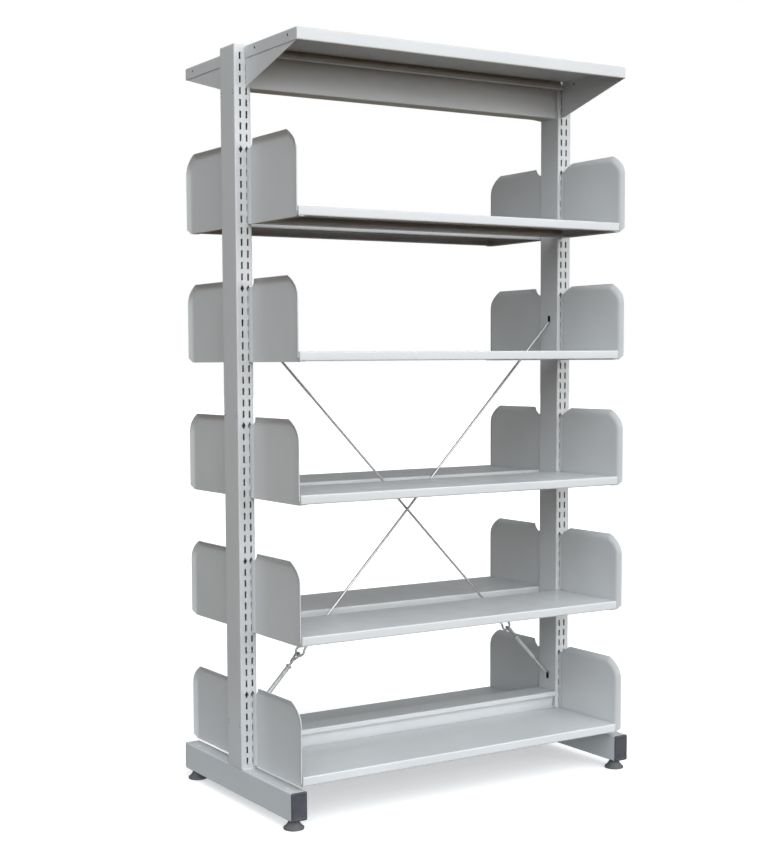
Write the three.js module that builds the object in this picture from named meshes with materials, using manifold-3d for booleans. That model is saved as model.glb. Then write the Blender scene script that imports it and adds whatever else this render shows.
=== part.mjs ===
// Double sided library shelving: one free-standing bay of folded sheet steel.
// Millimetres, +Z up. X runs along the bay, the front side faces -Y, and the floor is Z = 0.
import * as THREE from "three";
import { mergeGeometries, mergeVertices } from "three/addons/utils/BufferGeometryUtils.js";
import Module from "manifold-3d";

// The bay: how far apart its posts are, how many shelves a side has and how deep they reach
const bayPitch = 900;
const levels = 5;
const trayFront = 251;

// Posts
const postWidth = 40;
const postDepth = 68;
const postWall = 2;
const postCorner = 3;

// Foot tubes, their end caps and levelling feet
const footUnderside = 22;
const footWidth = 38;
const footHeight = 62;
const footBeyondTray = 1.5;
const footWall = 2;
const footCorner = 3;
const capFlange = 2.5;
const capPanel = 1.5;
const capPanelInset = 3;
const studRadius = 5;
const studLength = 35;
const studInset = 22;
const padRadius = 22.5;
const padRim = 4;
const padHeight = 11;
const padChamfer = 1;
const neckRadius = 9;
const neckHeight = 6;
const weldNutRadius = 9;
const weldNutHeight = 8;

// Slots punched in the front and back faces of the posts, with a diamond every few slots
const slotPitch = 25;
const slotHeight = 15;
const slotWidth = 4.2;
const slotFootMargin = 18.4;
const slotTopMargin = 24.6;
const slotInset = 10.75;
const slotColumnGap = 15;
const firstMark = 6;
const marksEvery = 12;
const slotCountAbove = 8;
const markWidth = 9.5;
const markTip = 1.2;

// Hooks that drop behind the slotted faces
const hookDrop = 6;
const hookPlay = 1;
const hookThickness = 2.5;

// Shelf trays
const traySheet = 1.2;
const trayBelowMark = 139.1;
const trayLip = 20;
const trayReturn = 15;
const gutterWidth = 10;
const gutterHem = 8;
const sheetBend = 1.8;

// Shelf brackets, with the slots below a diamond that their hooks use
const bracketSheet = 1.5;
const bracketRise = 159;
const bracketBeyondTray = 7;
const bracketLedge = 15;
const ledgeSetback = 1.5;
const bracketHookSlots = [5, 4, 2, 1];
const bracketJoggle = 2;
const joggleInset = 9;
const joggleRun = 6;
const frontArcRadius = 38;
const topArcRadius = 90;
const topArcEnd = THREE.MathUtils.degToRad(22);
const arcJoin = THREE.MathUtils.degToRad(45);
const flareWidth = 16.2;
const flareRadius = 18;
const flareAngle = THREE.MathUtils.degToRad(33);
const rimChamfer = 10;
const notchReach = 21;

// Canopy tops and the gussets that carry them, with the slots below the post's top that their hooks use
const canopySheet = 1.2;
const canopyBeyondTray = 9.5;
const canopyBelowPost = 3;
const apronHeight = 27;
const apronSheet = 1.5;
const apronReturn = 12;
const canopyRearLip = 20;
const gussetSheet = 2.5;
const gussetDrop = 86;
const gussetRearLand = 8;
const gussetHookSlots = [3, 1];

// Beams between the posts
const beamSheet = 1.5;
const beamWidth = 46;
const beamLip = 11;
const topBeamHeight = 80;
const topBeamBelowPost = 10.5;
const bottomBeamHeight = 56;
const bottomBeamAboveFoot = 13.3;
const beamHookHeights = [18, 43];

// Cross brace
const braceSlotHeight = 20;
const braceAboveFoot = 107;
const braceRise = 901;
const braceOffset = 3;
const rodRadius = 2.5;
const rodLeg = 14;
const rodBend = 4;
const rodStub = 16;
const eyeRadius = 8;
const eyeFromHook = 167;
const sleeveRadius = 5;
const sleeveStart = 54;
const sleeveLength = 81;
const sleeveGrip = 30;
const lockNutRadius = 6.5;
const lockNutLength = 6;

// Clearances
const seatGap = 0.3;
const trayEndGap = 0.5;
const rearGap = 2;
const plugGap = 1;

// Facets of the round shapes
const hexSides = 6;
const roundSides = 8;
const padSides = 14;
const rodSides = 6;
const eyeSteps = 12;
const bendSteps = 1;
const frontArcSteps = 3;
const topArcSteps = 2;
const rodBendSteps = 10;

// Sizes that follow from the ones above
const postInner = (bayPitch - postWidth) / 2;
const postFace = postDepth / 2;
const postFoot = footUnderside + footHeight;
const footLength = 2 * (trayFront + footBeyondTray);
const slotColumn = postInner + slotInset;
const lastMark = firstMark + marksEvery * (levels - 1);
const slotCount = lastMark + slotCountAbove + 1;
const slotZ = (index) => postFoot + slotFootMargin + slotPitch * index;
const slotFloor = (index) => slotZ(index) - slotHeight / 2;
const postTop = slotZ(slotCount - 1) + slotTopMargin;
const hookRoot = slotHeight - hookDrop - hookPlay;
const trayTop = (level) => slotZ(firstMark + marksEvery * level) - trayBelowMark;
const sheetRear = postFace + rearGap;
const plateInner = slotColumn - bracketSheet / 2 - bracketJoggle;
const trayHalf = plateInner - trayEndGap;
const hookFace = postFace + seatGap;
const hookBack = postFace - postWall - seatGap;
const bracketFront = trayFront + bracketBeyondTray;
const joggleStart = postFace + joggleInset;
const joggleEnd = joggleStart + joggleRun;
const gussetOuter = slotColumn + gussetSheet / 2;
const canopyFront = trayFront + canopyBeyondTray;
const canopyTop = postTop - canopyBelowPost;
const canopyHalf = gussetOuter + seatGap + apronSheet;
const topBeamUnderside = postTop - topBeamBelowPost - topBeamHeight;
const bottomBeamUnderside = postFoot + bottomBeamAboveFoot;
const beamWeb = (beamWidth - beamSheet) / 2;
const braceSlotWidth = 2 * (braceOffset + rodRadius + seatGap);
const braceLower = postFoot + braceAboveFoot;
const braceUpper = braceLower + braceRise;
const capPlug = studInset - weldNutRadius - plugGap;
const boreFor = (radius) => (radius + seatGap) / Math.cos(Math.PI / roundSides);

// Joining and cutting solids
const wasm = await Module();
wasm.setup();
const weldTolerance = 1e-3;

function toSolid(geometry) {
  const bare = geometry.clone();
  bare.deleteAttribute("normal");
  bare.deleteAttribute("uv");
  const welded = mergeVertices(bare, weldTolerance);
  const mesh = new wasm.Mesh({
    numProp: 3,
    vertProperties: new Float32Array(welded.attributes.position.array),
    triVerts: new Uint32Array(welded.index.array),
  });
  return new wasm.Manifold(mesh);
}

function toGeometry(solid) {
  const mesh = solid.getMesh();
  const geometry = new THREE.BufferGeometry();
  geometry.setAttribute("position", new THREE.BufferAttribute(new Float32Array(mesh.vertProperties), 3));
  geometry.setIndex(new THREE.BufferAttribute(new Uint32Array(mesh.triVerts), 1));
  return geometry;
}

const join = (...geometries) => toGeometry(geometries.map(toSolid).reduce((sum, next) => sum.add(next)));
const cut = (body, ...tools) =>
  toGeometry(tools.map(toSolid).reduce((rest, tool) => rest.subtract(tool), toSolid(body)));

// Plain shapes and extrusions
function block(x, y, z) {
  const geometry = new THREE.BoxGeometry(x[1] - x[0], y[1] - y[0], z[1] - z[0]);
  return geometry.translate((x[0] + x[1]) / 2, (y[0] + y[1]) / 2, (z[0] + z[1]) / 2);
}

function polygon(points) {
  return new THREE.Shape(points.map(([a, b]) => new THREE.Vector2(a, b)));
}

function roundedRectangle(width, height, radius) {
  const [w, h] = [width / 2, height / 2];
  const shape = new THREE.Shape();
  shape.absarc(w - radius, h - radius, radius, 0, Math.PI / 2);
  shape.absarc(radius - w, h - radius, radius, Math.PI / 2, Math.PI);
  shape.absarc(radius - w, radius - h, radius, Math.PI, 1.5 * Math.PI);
  shape.absarc(w - radius, radius - h, radius, 1.5 * Math.PI, 2 * Math.PI);
  return shape;
}

function extrude(shape, depth) {
  return new THREE.ExtrudeGeometry(shape, { depth, bevelEnabled: false, curveSegments: bendSteps });
}

const axisX = new THREE.Vector3(1, 0, 0);
const axisY = new THREE.Vector3(0, 1, 0);
const axisZ = new THREE.Vector3(0, 0, 1);

// A shape drawn in Y and Z, extruded along X
function alongX(shape, from, to) {
  const turn = new THREE.Matrix4().makeBasis(axisY, axisZ, axisX);
  return extrude(shape, to - from).applyMatrix4(turn).translate(from, 0, 0);
}

// A shape drawn in X and Z, extruded along Y
function alongY(shape, from, to) {
  const turn = new THREE.Matrix4().makeBasis(axisX, axisZ, axisY.clone().negate());
  return extrude(shape, to - from).applyMatrix4(turn).translate(0, to, 0);
}

function alongZ(shape, from, to) {
  return extrude(shape, to - from).translate(0, 0, from);
}

// A round solid from its half profile of radius and height
function turned(profile, sides) {
  const points = profile.map(([r, z]) => new THREE.Vector2(r, z));
  return new THREE.LatheGeometry(points, sides).rotateX(Math.PI / 2);
}

function mirroredX(geometry) {
  const flipped = geometry.clone().scale(-1, 1, 1);
  const index = flipped.index.array;
  for (let i = 0; i < index.length; i += 3) {
    [index[i], index[i + 1]] = [index[i + 1], index[i]];
  }
  return flipped;
}

// A path of corner points, shifted sideways by a distance with mitred corners
function offsetPath(points, distance) {
  return points.map((point, i) => {
    const before = new THREE.Vector2(...points[Math.max(i - 1, 0)]);
    const here = new THREE.Vector2(...point);
    const after = new THREE.Vector2(...points[Math.min(i + 1, points.length - 1)]);
    const into = (i ? here.clone().sub(before) : after.clone().sub(here)).normalize();
    const out = (i < points.length - 1 ? after.clone().sub(here) : into.clone()).normalize();
    const bisector = into.clone().add(out).normalize();
    const length = distance / bisector.dot(into);
    return [here.x - bisector.y * length, here.y + bisector.x * length];
  });
}

// A path of corner points with each inner corner rounded to a bend
function roundedPath(points, radius) {
  const rounded = [points[0]];
  for (let i = 1; i < points.length - 1; i += 1) {
    const corner = new THREE.Vector2(...points[i]);
    const into = corner.clone().sub(new THREE.Vector2(...points[i - 1])).normalize();
    const out = new THREE.Vector2(...points[i + 1]).sub(corner).normalize();
    const turn = into.cross(out) > 0 ? 1 : -1;
    const reach = radius * Math.tan(into.angleTo(out) / 2);
    const start = corner.clone().addScaledVector(into, -reach);
    const centre = start.clone().add(new THREE.Vector2(-into.y, into.x).multiplyScalar(turn * radius));
    for (let step = 0; step <= bendSteps; step += 1) {
      const angle = (turn * into.angleTo(out) * step) / bendSteps;
      const point = start.clone().rotateAround(centre, angle);
      rounded.push([point.x, point.y]);
    }
  }
  return [...rounded, points.at(-1)];
}

// The section of a folded sheet, from the middle line of the sheet: a creased hem, then rounded bends
function foldedSection(hem, points, sheet) {
  const middle = [...hem, ...roundedPath(points, sheetBend)];
  return polygon([...offsetPath(middle, -sheet / 2), ...offsetPath(middle, sheet / 2).reverse()]);
}

// The outline of a plate that closes the end of a folded sheet, down to the sheet's lower edge
function endOutline(points, sheet) {
  const skin = offsetPath(roundedPath(points, sheetBend), sheet / 2).slice(1, -1);
  return polygon([[skin[0][0], skin.at(-1)[1]], ...skin].reverse());
}

// A range from a to b on the right side, or its mirror image on the left side
const mirrored = (side, a, b) => [side * a, side * b].sort((p, q) => p - q);

// Points on an arc of a circle, both ends included
function arcPoints(centre, radius, from, to, steps) {
  return Array.from({ length: steps + 1 }, (_, step) => {
    const angle = from + ((to - from) * step) / steps;
    return [centre[0] + radius * Math.cos(angle), centre[1] + radius * Math.sin(angle)];
  });
}

// The outline of a hook that reaches from a face at "near" through a wall and drops behind its back
function hookOutline(near, back, floor) {
  const far = back - Math.sign(near - back) * hookThickness;
  return [
    [near, floor],
    [back, floor],
    [back, floor - hookDrop],
    [far, floor - hookDrop],
    [far, floor + hookRoot],
    [near, floor + hookRoot],
  ];
}

// Posts: closed at the top, slotted in front and behind, with slots for beams and braces on the inner face
function slotShape(x, index) {
  const z = slotZ(index);
  const [w, h] = [slotWidth / 2, slotHeight / 2];
  if ((index - firstMark) % marksEvery) {
    return polygon([[x - w, z - h], [x + w, z - h], [x + w, z + h], [x - w, z + h]]);
  }
  const [tip, wide] = [markTip / 2, markWidth / 2];
  return polygon([
    [x - tip, z - h],
    [x + tip, z - h],
    [x + wide, z],
    [x + tip, z + h],
    [x - tip, z + h],
    [x - wide, z],
  ]);
}

function postGeometry() {
  const outer = roundedRectangle(postWidth, postDepth, postCorner);
  const inner = roundedRectangle(postWidth - 2 * postWall, postDepth - 2 * postWall, postCorner - postWall);
  const centre = bayPitch / 2;
  const wall = [postInner - postWall, postInner + 2 * postWall];
  const slots = [];
  for (let index = 0; index < slotCount; index += 1) {
    for (const x of [slotColumn, slotColumn + slotColumnGap]) {
      slots.push(alongY(slotShape(x, index), -postDepth, postDepth));
    }
  }
  for (const underside of [bottomBeamUnderside, topBeamUnderside]) {
    for (const height of beamHookHeights) {
      for (const y of [-beamWeb, beamWeb]) {
        const floor = underside + height;
        slots.push(block(wall, [y - slotWidth / 2, y + slotWidth / 2], [floor, floor + slotHeight]));
      }
    }
  }
  for (const z of [braceUpper, braceLower]) {
    const [w, h] = [braceSlotWidth / 2, braceSlotHeight / 2];
    slots.push(block(wall, [-w, w], [z - h, z + h]));
  }
  return cut(
    alongZ(outer, postFoot, postTop).translate(centre, 0, 0),
    alongZ(inner, postFoot - postWall, postTop - postWall).translate(centre, 0, 0),
    mergeGeometries(slots.map((slot) => (slot.index ? slot.toNonIndexed() : slot))),
  );
}

// Foot tubes with a welded nut over each stud hole
function footTubeGeometry() {
  const half = footLength / 2;
  const middle = footUnderside + footHeight / 2;
  const outer = roundedRectangle(footWidth, footHeight, footCorner);
  const inner = roundedRectangle(footWidth - 2 * footWall, footHeight - 2 * footWall, footCorner - footWall);
  const nuts = [];
  const holes = [];
  for (const y of [-half + studInset, half - studInset]) {
    const nutTop = footUnderside + footWall + weldNutHeight;
    const nutHeight = weldNutHeight + footWall / 2;
    const nut = new THREE.CylinderGeometry(weldNutRadius, weldNutRadius, nutHeight, hexSides);
    nuts.push(nut.rotateX(Math.PI / 2).translate(0, y, nutTop - nutHeight / 2));
    const bore = boreFor(studRadius);
    const depth = 2 * (footWall + weldNutHeight) + footWall;
    const hole = new THREE.CylinderGeometry(bore, bore, depth, roundSides);
    holes.push(hole.rotateX(Math.PI / 2).translate(0, y, footUnderside));
  }
  const tube = cut(
    alongY(outer, -half, half).translate(0, 0, middle),
    alongY(inner, -half - footWall, half + footWall).translate(0, 0, middle),
  );
  return cut(join(tube, ...nuts), ...holes).translate(bayPitch / 2, 0, 0);
}

// Plastic end caps: a flange over the tube's end, a raised panel and a plug inside the tube
function endCapGeometry() {
  const end = footLength / 2;
  const inset = footWall + seatGap;
  const bore = [footWidth - 2 * inset, footHeight - 2 * inset];
  const panel = [footWidth - 2 * capPanelInset, footHeight - 2 * capPanelInset];
  const overlap = capFlange / 2;
  const cap = join(
    alongY(roundedRectangle(footWidth, footHeight, footCorner), end, end + capFlange),
    alongY(roundedRectangle(...panel, footCorner), end + overlap, end + capFlange + capPanel),
    alongY(roundedRectangle(...bore, footCorner - footWall), end - capPlug, end + overlap),
  );
  return cap.translate(bayPitch / 2, 0, footUnderside + footHeight / 2);
}

// Levelling feet: pad, neck and stud in one piece, standing on the floor
function levellingFootGeometry() {
  const neckTop = padHeight + neckHeight;
  const foot = turned(
    [
      [0, 0],
      [padRadius - padChamfer, 0],
      [padRadius, padChamfer],
      [padRadius, padRim],
      [(padRadius + neckRadius) / 2, (2 * padHeight + padRim) / 3],
      [neckRadius, padHeight],
      [neckRadius, neckTop],
      [studRadius, neckTop],
      [studRadius, neckTop + studLength],
      [0, neckTop + studLength],
    ],
    padSides,
  );
  return foot.translate(bayPitch / 2, footLength / 2 - studInset, 0);
}

// Beams: a closed box under a wide flange with down-turned lips, hooked into the posts at both ends
function beamGeometry(height, underside) {
  const [web, flange, sheet] = [beamWidth / 2, postFace, beamSheet];
  const half = [
    [web, 0],
    [web, height - sheet],
    [flange - sheet, height - sheet],
    [flange - sheet, height - beamLip],
    [flange, height - beamLip],
    [flange, height],
  ];
  const section = polygon([...half, ...half.map(([y, z]) => [-y, z]).reverse()]);
  const inside = [web - sheet, height - 2 * sheet];
  section.holes.push(
    new THREE.Path(
      [
        [-inside[0], sheet],
        [-inside[0], sheet + inside[1]],
        [inside[0], sheet + inside[1]],
        [inside[0], sheet],
      ].map(([y, z]) => new THREE.Vector2(y, z)),
    ),
  );
  const hooks = [];
  const overlap = sheet;
  for (const floor of beamHookHeights) {
    for (const side of [-1, 1]) {
      const near = side * (postInner - overlap);
      const outline = hookOutline(near, side * (postInner + postWall + seatGap), floor);
      for (const y of [-web, web - sheet]) {
        hooks.push(alongY(polygon(side > 0 ? outline : outline.reverse()), y, y + sheet));
      }
    }
  }
  return join(alongX(section, -postInner, postInner), ...hooks).translate(0, 0, underside);
}

// Shelf trays: a folded sheet with a front lip, a gutter at the rear and closed ends
function trayGeometry() {
  const mid = traySheet / 2;
  const [rear, front] = [sheetRear + mid, trayFront - mid];
  const floor = mid - trayLip;
  const gutter = [[rear + gutterWidth, floor + gutterHem], [rear + gutterWidth, floor]];
  const folds = [[rear, floor], [rear, -mid], [front, -mid], [front, floor], [front - trayReturn, floor]];
  const section = foldedSection(gutter, folds, traySheet);
  const plate = endOutline(folds, traySheet);
  const plates = [-1, 1].map((side) => alongX(plate, ...mirrored(side, trayHalf - traySheet, trayHalf)));
  return join(alongX(section, mid - trayHalf, trayHalf - mid), ...plates);
}

// Shelf brackets: a sheet given by the X of its inner face over the Y-Z plane, Z = 0 at the top of the tray
function flareRise(reach) {
  const bend = flareRadius * Math.sin(flareAngle);
  if (reach <= bend) {
    return flareRadius - Math.sqrt(flareRadius ** 2 - reach ** 2);
  }
  return flareRadius * (1 - Math.cos(flareAngle)) + (reach - bend) * Math.tan(flareAngle);
}

function sheetSolid(faces, sheet) {
  const indexOf = new Map();
  const points = [];
  const corner = (point) => {
    const key = point.map((value) => value.toFixed(4)).join();
    if (!indexOf.has(key)) {
      indexOf.set(key, points.length);
      points.push(point);
    }
    return indexOf.get(key);
  };
  const triangles = faces.map((face) => face.map(corner));
  const edges = new Set(triangles.flatMap(([a, b, c]) => [`${a},${b}`, `${b},${c}`, `${c},${a}`]));
  const count = points.length;
  const index = [];
  for (const [a, b, c] of triangles) {
    index.push(a + count, b + count, c + count, c, b, a);
  }
  for (const edge of edges) {
    const [a, b] = edge.split(",").map(Number);
    if (!edges.has(`${b},${a}`)) {
      index.push(b + count, a + count, a, b + count, a, b);
    }
  }
  const outer = points.map(([x, y, z]) => [x + sheet, y, z]);
  const geometry = new THREE.BufferGeometry();
  geometry.setAttribute("position", new THREE.Float32BufferAttribute([...points, ...outer].flat(), 3));
  geometry.setIndex(index);
  return geometry;
}

function polygonFaces(outline, xOf) {
  const contour = outline.map(([y, z]) => new THREE.Vector2(y, z));
  const lift = ([y, z]) => [xOf(y), y, z];
  return THREE.ShapeUtils.triangulateShape(contour, []).map((face) => face.map((i) => lift(outline[i])));
}

// The free edge of a bracket from its lower front corner, up the front, round two arcs and back along the top
function bracketRim() {
  const front = [bracketFront, rimChamfer - trayLip - bracketSheet];
  const highZ = bracketRise - topArcRadius * Math.cos(topArcEnd);
  const step = topArcRadius - frontArcRadius;
  const lowCentre = [bracketFront - frontArcRadius, highZ + step * Math.sin(arcJoin)];
  const highCentre = [lowCentre[0] - step * Math.cos(arcJoin), highZ];
  const low = arcPoints(lowCentre, frontArcRadius, 0, arcJoin, frontArcSteps);
  const high = arcPoints(highCentre, topArcRadius, arcJoin, Math.PI / 2 - topArcEnd, topArcSteps);
  return [front, ...low, ...high.slice(1), [joggleEnd + notchReach, bracketRise]];
}

function bracketGeometry() {
  const bottom = -trayLip - bracketSheet;
  const joggled = plateInner + bracketJoggle;
  const rim = bracketRim();
  const bend = flareRadius * Math.sin(flareAngle);
  const rows = [0, bend, flareWidth].map((reach) => {
    const row = offsetPath(rim, flareWidth - reach);
    row[0][1] = bottom + Math.max(0, rimChamfer - (flareWidth - reach));
    row.at(-1)[0] = joggleEnd + (notchReach * reach) / flareWidth;
    return row.map(([y, z]) => [plateInner + flareRise(reach), y, z]);
  });
  const faces = [];
  for (let r = 1; r < rows.length; r += 1) {
    for (let i = 1; i < rim.length; i += 1) {
      const [a, b, c, d] = [rows[r - 1][i - 1], rows[r][i - 1], rows[r][i], rows[r - 1][i]];
      faces.push([a, b, c], [a, c, d]);
    }
  }
  const flat = rows[0].map(([, y, z]) => [y, z]);
  const strapTop = flat.at(-1)[1];
  faces.push(...polygonFaces([[joggleEnd, bottom], ...flat], () => plateInner));
  const slope = [[joggleStart, bottom], [joggleEnd, bottom], [joggleEnd, strapTop], [joggleStart, strapTop]];
  faces.push(...polygonFaces(slope, (y) => (y < joggleEnd ? joggled : plateInner)));
  const hooks = bracketHookSlots.flatMap((below) => {
    const floor = trayBelowMark - slotPitch * below - slotHeight / 2;
    return hookOutline(hookFace, hookBack, floor);
  });
  const strap = [[joggleStart, bottom], [joggleStart, strapTop], [hookFace, strapTop]];
  faces.push(...polygonFaces([...strap, ...hooks.reverse(), [hookFace, bottom]], () => joggled));
  const ledge = block(
    [plateInner - bracketLedge, plateInner + bracketSheet / 2],
    [joggleEnd, trayFront - ledgeSetback],
    [bottom, -trayLip],
  );
  return join(sheetSolid(faces, bracketSheet), ledge);
}

// Canopy tops: a folded sheet with a front apron and a rear gutter, and an apron over each gusset
function canopyGeometry() {
  const mid = canopySheet / 2;
  const [rear, front] = [sheetRear + mid, canopyFront - mid];
  const hem = mid - apronHeight;
  const floor = mid - canopyRearLip;
  const top = [[rear, -mid], [front, -mid], [front, hem], [front - apronReturn, hem]];
  const gutter = [[rear + gutterWidth, floor + gutterHem], [rear + gutterWidth, floor]];
  const gussetInner = gussetOuter - gussetSheet;
  const lipHalf = gussetInner - gussetSheet;
  const folds = foldedSection(gutter, [[rear, floor], ...top], canopySheet);
  const sheets = [alongX(folds, -lipHalf, lipHalf)];
  const wing = foldedSection([], top, canopySheet);
  const apron = endOutline([[rear, hem], ...top], canopySheet);
  for (const side of [-1, 1]) {
    sheets.push(alongX(wing, ...mirrored(side, lipHalf - canopySheet, canopyHalf - apronSheet / 2)));
    sheets.push(alongX(apron, ...mirrored(side, canopyHalf - apronSheet, canopyHalf)));
  }
  return join(...sheets).translate(0, 0, canopyTop);
}

// Gussets: triangular plates hooked into the posts under the canopy
function gussetGeometry() {
  const top = canopyTop - canopySheet;
  const low = postTop - gussetDrop - canopyBelowPost;
  const apronHem = canopyTop - apronHeight + canopySheet + seatGap;
  const tip = canopyFront - canopySheet - sheetBend;
  const hooks = gussetHookSlots.flatMap((below) => {
    return hookOutline(hookFace, hookBack, slotFloor(slotCount - below));
  });
  const outline = [
    [hookFace + gussetRearLand, low],
    [canopyFront - canopySheet - apronReturn, apronHem],
    [tip, apronHem],
    [tip, top],
    [hookFace, top],
    ...hooks.reverse(),
    [hookFace, low],
  ];
  return alongX(polygon(outline), gussetOuter - gussetSheet, gussetOuter);
}

// Cross brace: a tie from the upper slot of the left post to the lower slot of the right post
const tieReach = postInner - rodBend;
const tieUpper = new THREE.Vector3(-tieReach, 0, braceUpper - braceSlotHeight / 2 + rodRadius + seatGap);
const tieLower = new THREE.Vector3(tieReach, 0, braceLower + braceSlotHeight / 2 - rodRadius - seatGap);
const tieDirection = tieUpper.clone().sub(tieLower).normalize();
const tieLength = tieUpper.distanceTo(tieLower);
const tieTurn = new THREE.Quaternion().setFromUnitVectors(axisZ, tieDirection);

// A shape made along Z, laid on the tie with Z = 0 at its lower hook
function onTie(geometry) {
  return geometry.applyQuaternion(tieTurn).translate(tieLower.x, tieLower.y, tieLower.z);
}

function rodBetween(from, to) {
  const rod = new THREE.CylinderGeometry(rodRadius, rodRadius, to - from, rodSides);
  return onTie(rod.rotateX(Math.PI / 2).translate(0, 0, (from + to) / 2));
}

// The bent end of a rod: a leg behind the post's wall, a short run through the slot and a stub along the tie
function rodHook(anchor, side, legUp, along) {
  const corner = new THREE.Vector3(side * (postInner + postWall + seatGap + rodRadius), 0, anchor.z);
  const leg = corner.clone().addScaledVector(axisZ, legUp * rodLeg);
  const legBend = corner.clone().addScaledVector(axisZ, legUp * rodBend);
  const wallBend = corner.clone().addScaledVector(axisX, -side * rodBend);
  const wallEnd = anchor.clone().addScaledVector(axisX, side * rodBend);
  const tieBend = anchor.clone().addScaledVector(along, rodBend);
  const stub = anchor.clone().addScaledVector(along, rodStub);
  const path = new THREE.CurvePath();
  path.add(new THREE.LineCurve3(leg, legBend));
  path.add(new THREE.QuadraticBezierCurve3(legBend, corner, wallBend));
  path.add(new THREE.LineCurve3(wallBend, wallEnd));
  path.add(new THREE.QuadraticBezierCurve3(wallEnd, anchor, tieBend));
  path.add(new THREE.LineCurve3(tieBend, stub));
  const section = polygon(arcPoints([0, 0], rodRadius, 0, 2 * Math.PI, rodSides).slice(0, -1));
  return new THREE.ExtrudeGeometry(section, { steps: rodBendSteps, extrudePath: path, bevelEnabled: false });
}

const eyeShift = eyeRadius - rodRadius - seatGap / 2;
const rodEye = eyeFromHook + eyeShift;
const boltEye = eyeFromHook - eyeShift;
const eye = () => new THREE.TorusGeometry(eyeRadius, rodRadius, rodSides, eyeSteps).rotateX(Math.PI / 2);

const tiePieces = {
  tie_rod: () =>
    join(
      rodHook(tieUpper, -1, -1, tieDirection.clone().negate()),
      rodBetween(rodEye + eyeRadius, tieLength - rodStub / 2),
      onTie(eye().translate(0, 0, rodEye)),
    ),
  eye_bolt: () =>
    join(
      onTie(eye().rotateZ(Math.PI / 2).translate(0, 0, boltEye)),
      rodBetween(sleeveStart + sleeveLength - sleeveGrip, boltEye - eyeRadius),
    ),
  lock_nut: () => {
    const bore = boreFor(rodRadius);
    const start = sleeveStart + sleeveLength + seatGap;
    const nut = new THREE.CylinderGeometry(lockNutRadius, lockNutRadius, lockNutLength, hexSides);
    const hole = new THREE.CylinderGeometry(bore, bore, 2 * lockNutLength, roundSides);
    return onTie(cut(nut, hole).rotateX(Math.PI / 2).translate(0, 0, start + lockNutLength / 2));
  },
  tension_sleeve: () => {
    const bore = boreFor(rodRadius);
    const [from, to] = [sleeveStart, sleeveStart + sleeveLength];
    const wall = [[bore, from], [sleeveRadius, from], [sleeveRadius, to], [bore, to], [bore, from]];
    return onTie(turned(wall, roundSides));
  },
  hook_end: () =>
    join(rodHook(tieLower, 1, 1, tieDirection), rodBetween(rodStub / 2, sleeveStart + sleeveGrip)),
};

// Finishes
const paint = { color: 0xd3d6d8, roughness: 0.45, metalness: 0.1 };
const blackPlastic = { color: 0x2b2c30, roughness: 0.55, metalness: 0 };
const plated = { color: 0xc9ccd0, roughness: 0.25, metalness: 1 };

// The bay is put together from pieces made for its back right quarter
const shelving = new THREE.Group();

function place(name, geometry, finish) {
  const mesh = new THREE.Mesh(geometry, new THREE.MeshStandardMaterial(finish));
  mesh.name = name;
  shelving.add(mesh);
  return mesh;
}

const ends = ["left", "right"];
const sides = ["front", "back"];

// A piece of the back right quarter, turned or mirrored to the quarter that is asked for
function quarter(geometry, side, end) {
  const asMade = (side === "back") === (end === "right");
  const handed = asMade ? geometry : mirroredX(toGeometry(toSolid(geometry)));
  return side === "back" ? handed.clone() : handed.clone().rotateZ(Math.PI);
}

const post = postGeometry();
const footTube = footTubeGeometry();
for (const end of ends) {
  const turn = end === "left" ? Math.PI : 0;
  place(`post_${end}`, post.clone(), paint).rotation.z = turn;
  place(`foot_tube_${end}`, footTube.clone(), paint).rotation.z = turn;
}

const quarterPieces = [
  ["end_cap", endCapGeometry(), blackPlastic],
  ["levelling_foot", levellingFootGeometry(), blackPlastic],
  ["gusset", gussetGeometry(), paint],
];
for (const [name, geometry, finish] of quarterPieces) {
  for (const side of sides) {
    for (const end of ends) {
      place(`${name}_${side}_${end}`, quarter(geometry, side, end), finish);
    }
  }
}

place("top_beam", beamGeometry(topBeamHeight, topBeamUnderside), paint);
place("bottom_beam", beamGeometry(bottomBeamHeight, bottomBeamUnderside), paint);

const canopy = canopyGeometry();
const tray = trayGeometry();
const bracket = bracketGeometry();
for (const side of sides) {
  const turn = side === "front" ? Math.PI : 0;
  place(`canopy_${side}`, canopy.clone(), paint).rotation.z = turn;
  for (let level = 0; level < levels; level += 1) {
    const shelf = place(`tray_${side}_${level + 1}`, tray.clone(), paint);
    shelf.rotation.z = turn;
    shelf.position.z = trayTop(level);
    for (const end of ends) {
      const name = `bracket_${side}_${end}_${level + 1}`;
      place(name, quarter(bracket, side, end), paint).position.z = trayTop(level);
    }
  }
}

for (const [name, make] of Object.entries(tiePieces)) {
  const piece = make();
  place(`${name}_a`, piece, plated).position.y = braceOffset;
  const opposite = place(`${name}_b`, piece.clone(), plated);
  opposite.rotation.z = Math.PI;
  opposite.position.y = -braceOffset;
}

export default shelving;
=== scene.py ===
"""Looks of a double sided library shelving bay, built around its packed CAD part.

Laid out as a Blender add-on: sizes and colours in property groups, one operator for each kind of piece.
All lengths are in metres. Pieces are made for the back right quarter of the bay, then turned or mirrored.
"""

import math

import bmesh
import bpy
from bpy.props import FloatProperty, FloatVectorProperty, IntProperty, PointerProperty
from bpy.types import Operator, Panel, PropertyGroup
from mathutils import Matrix, Vector
from mathutils.geometry import interpolate_bezier


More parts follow.
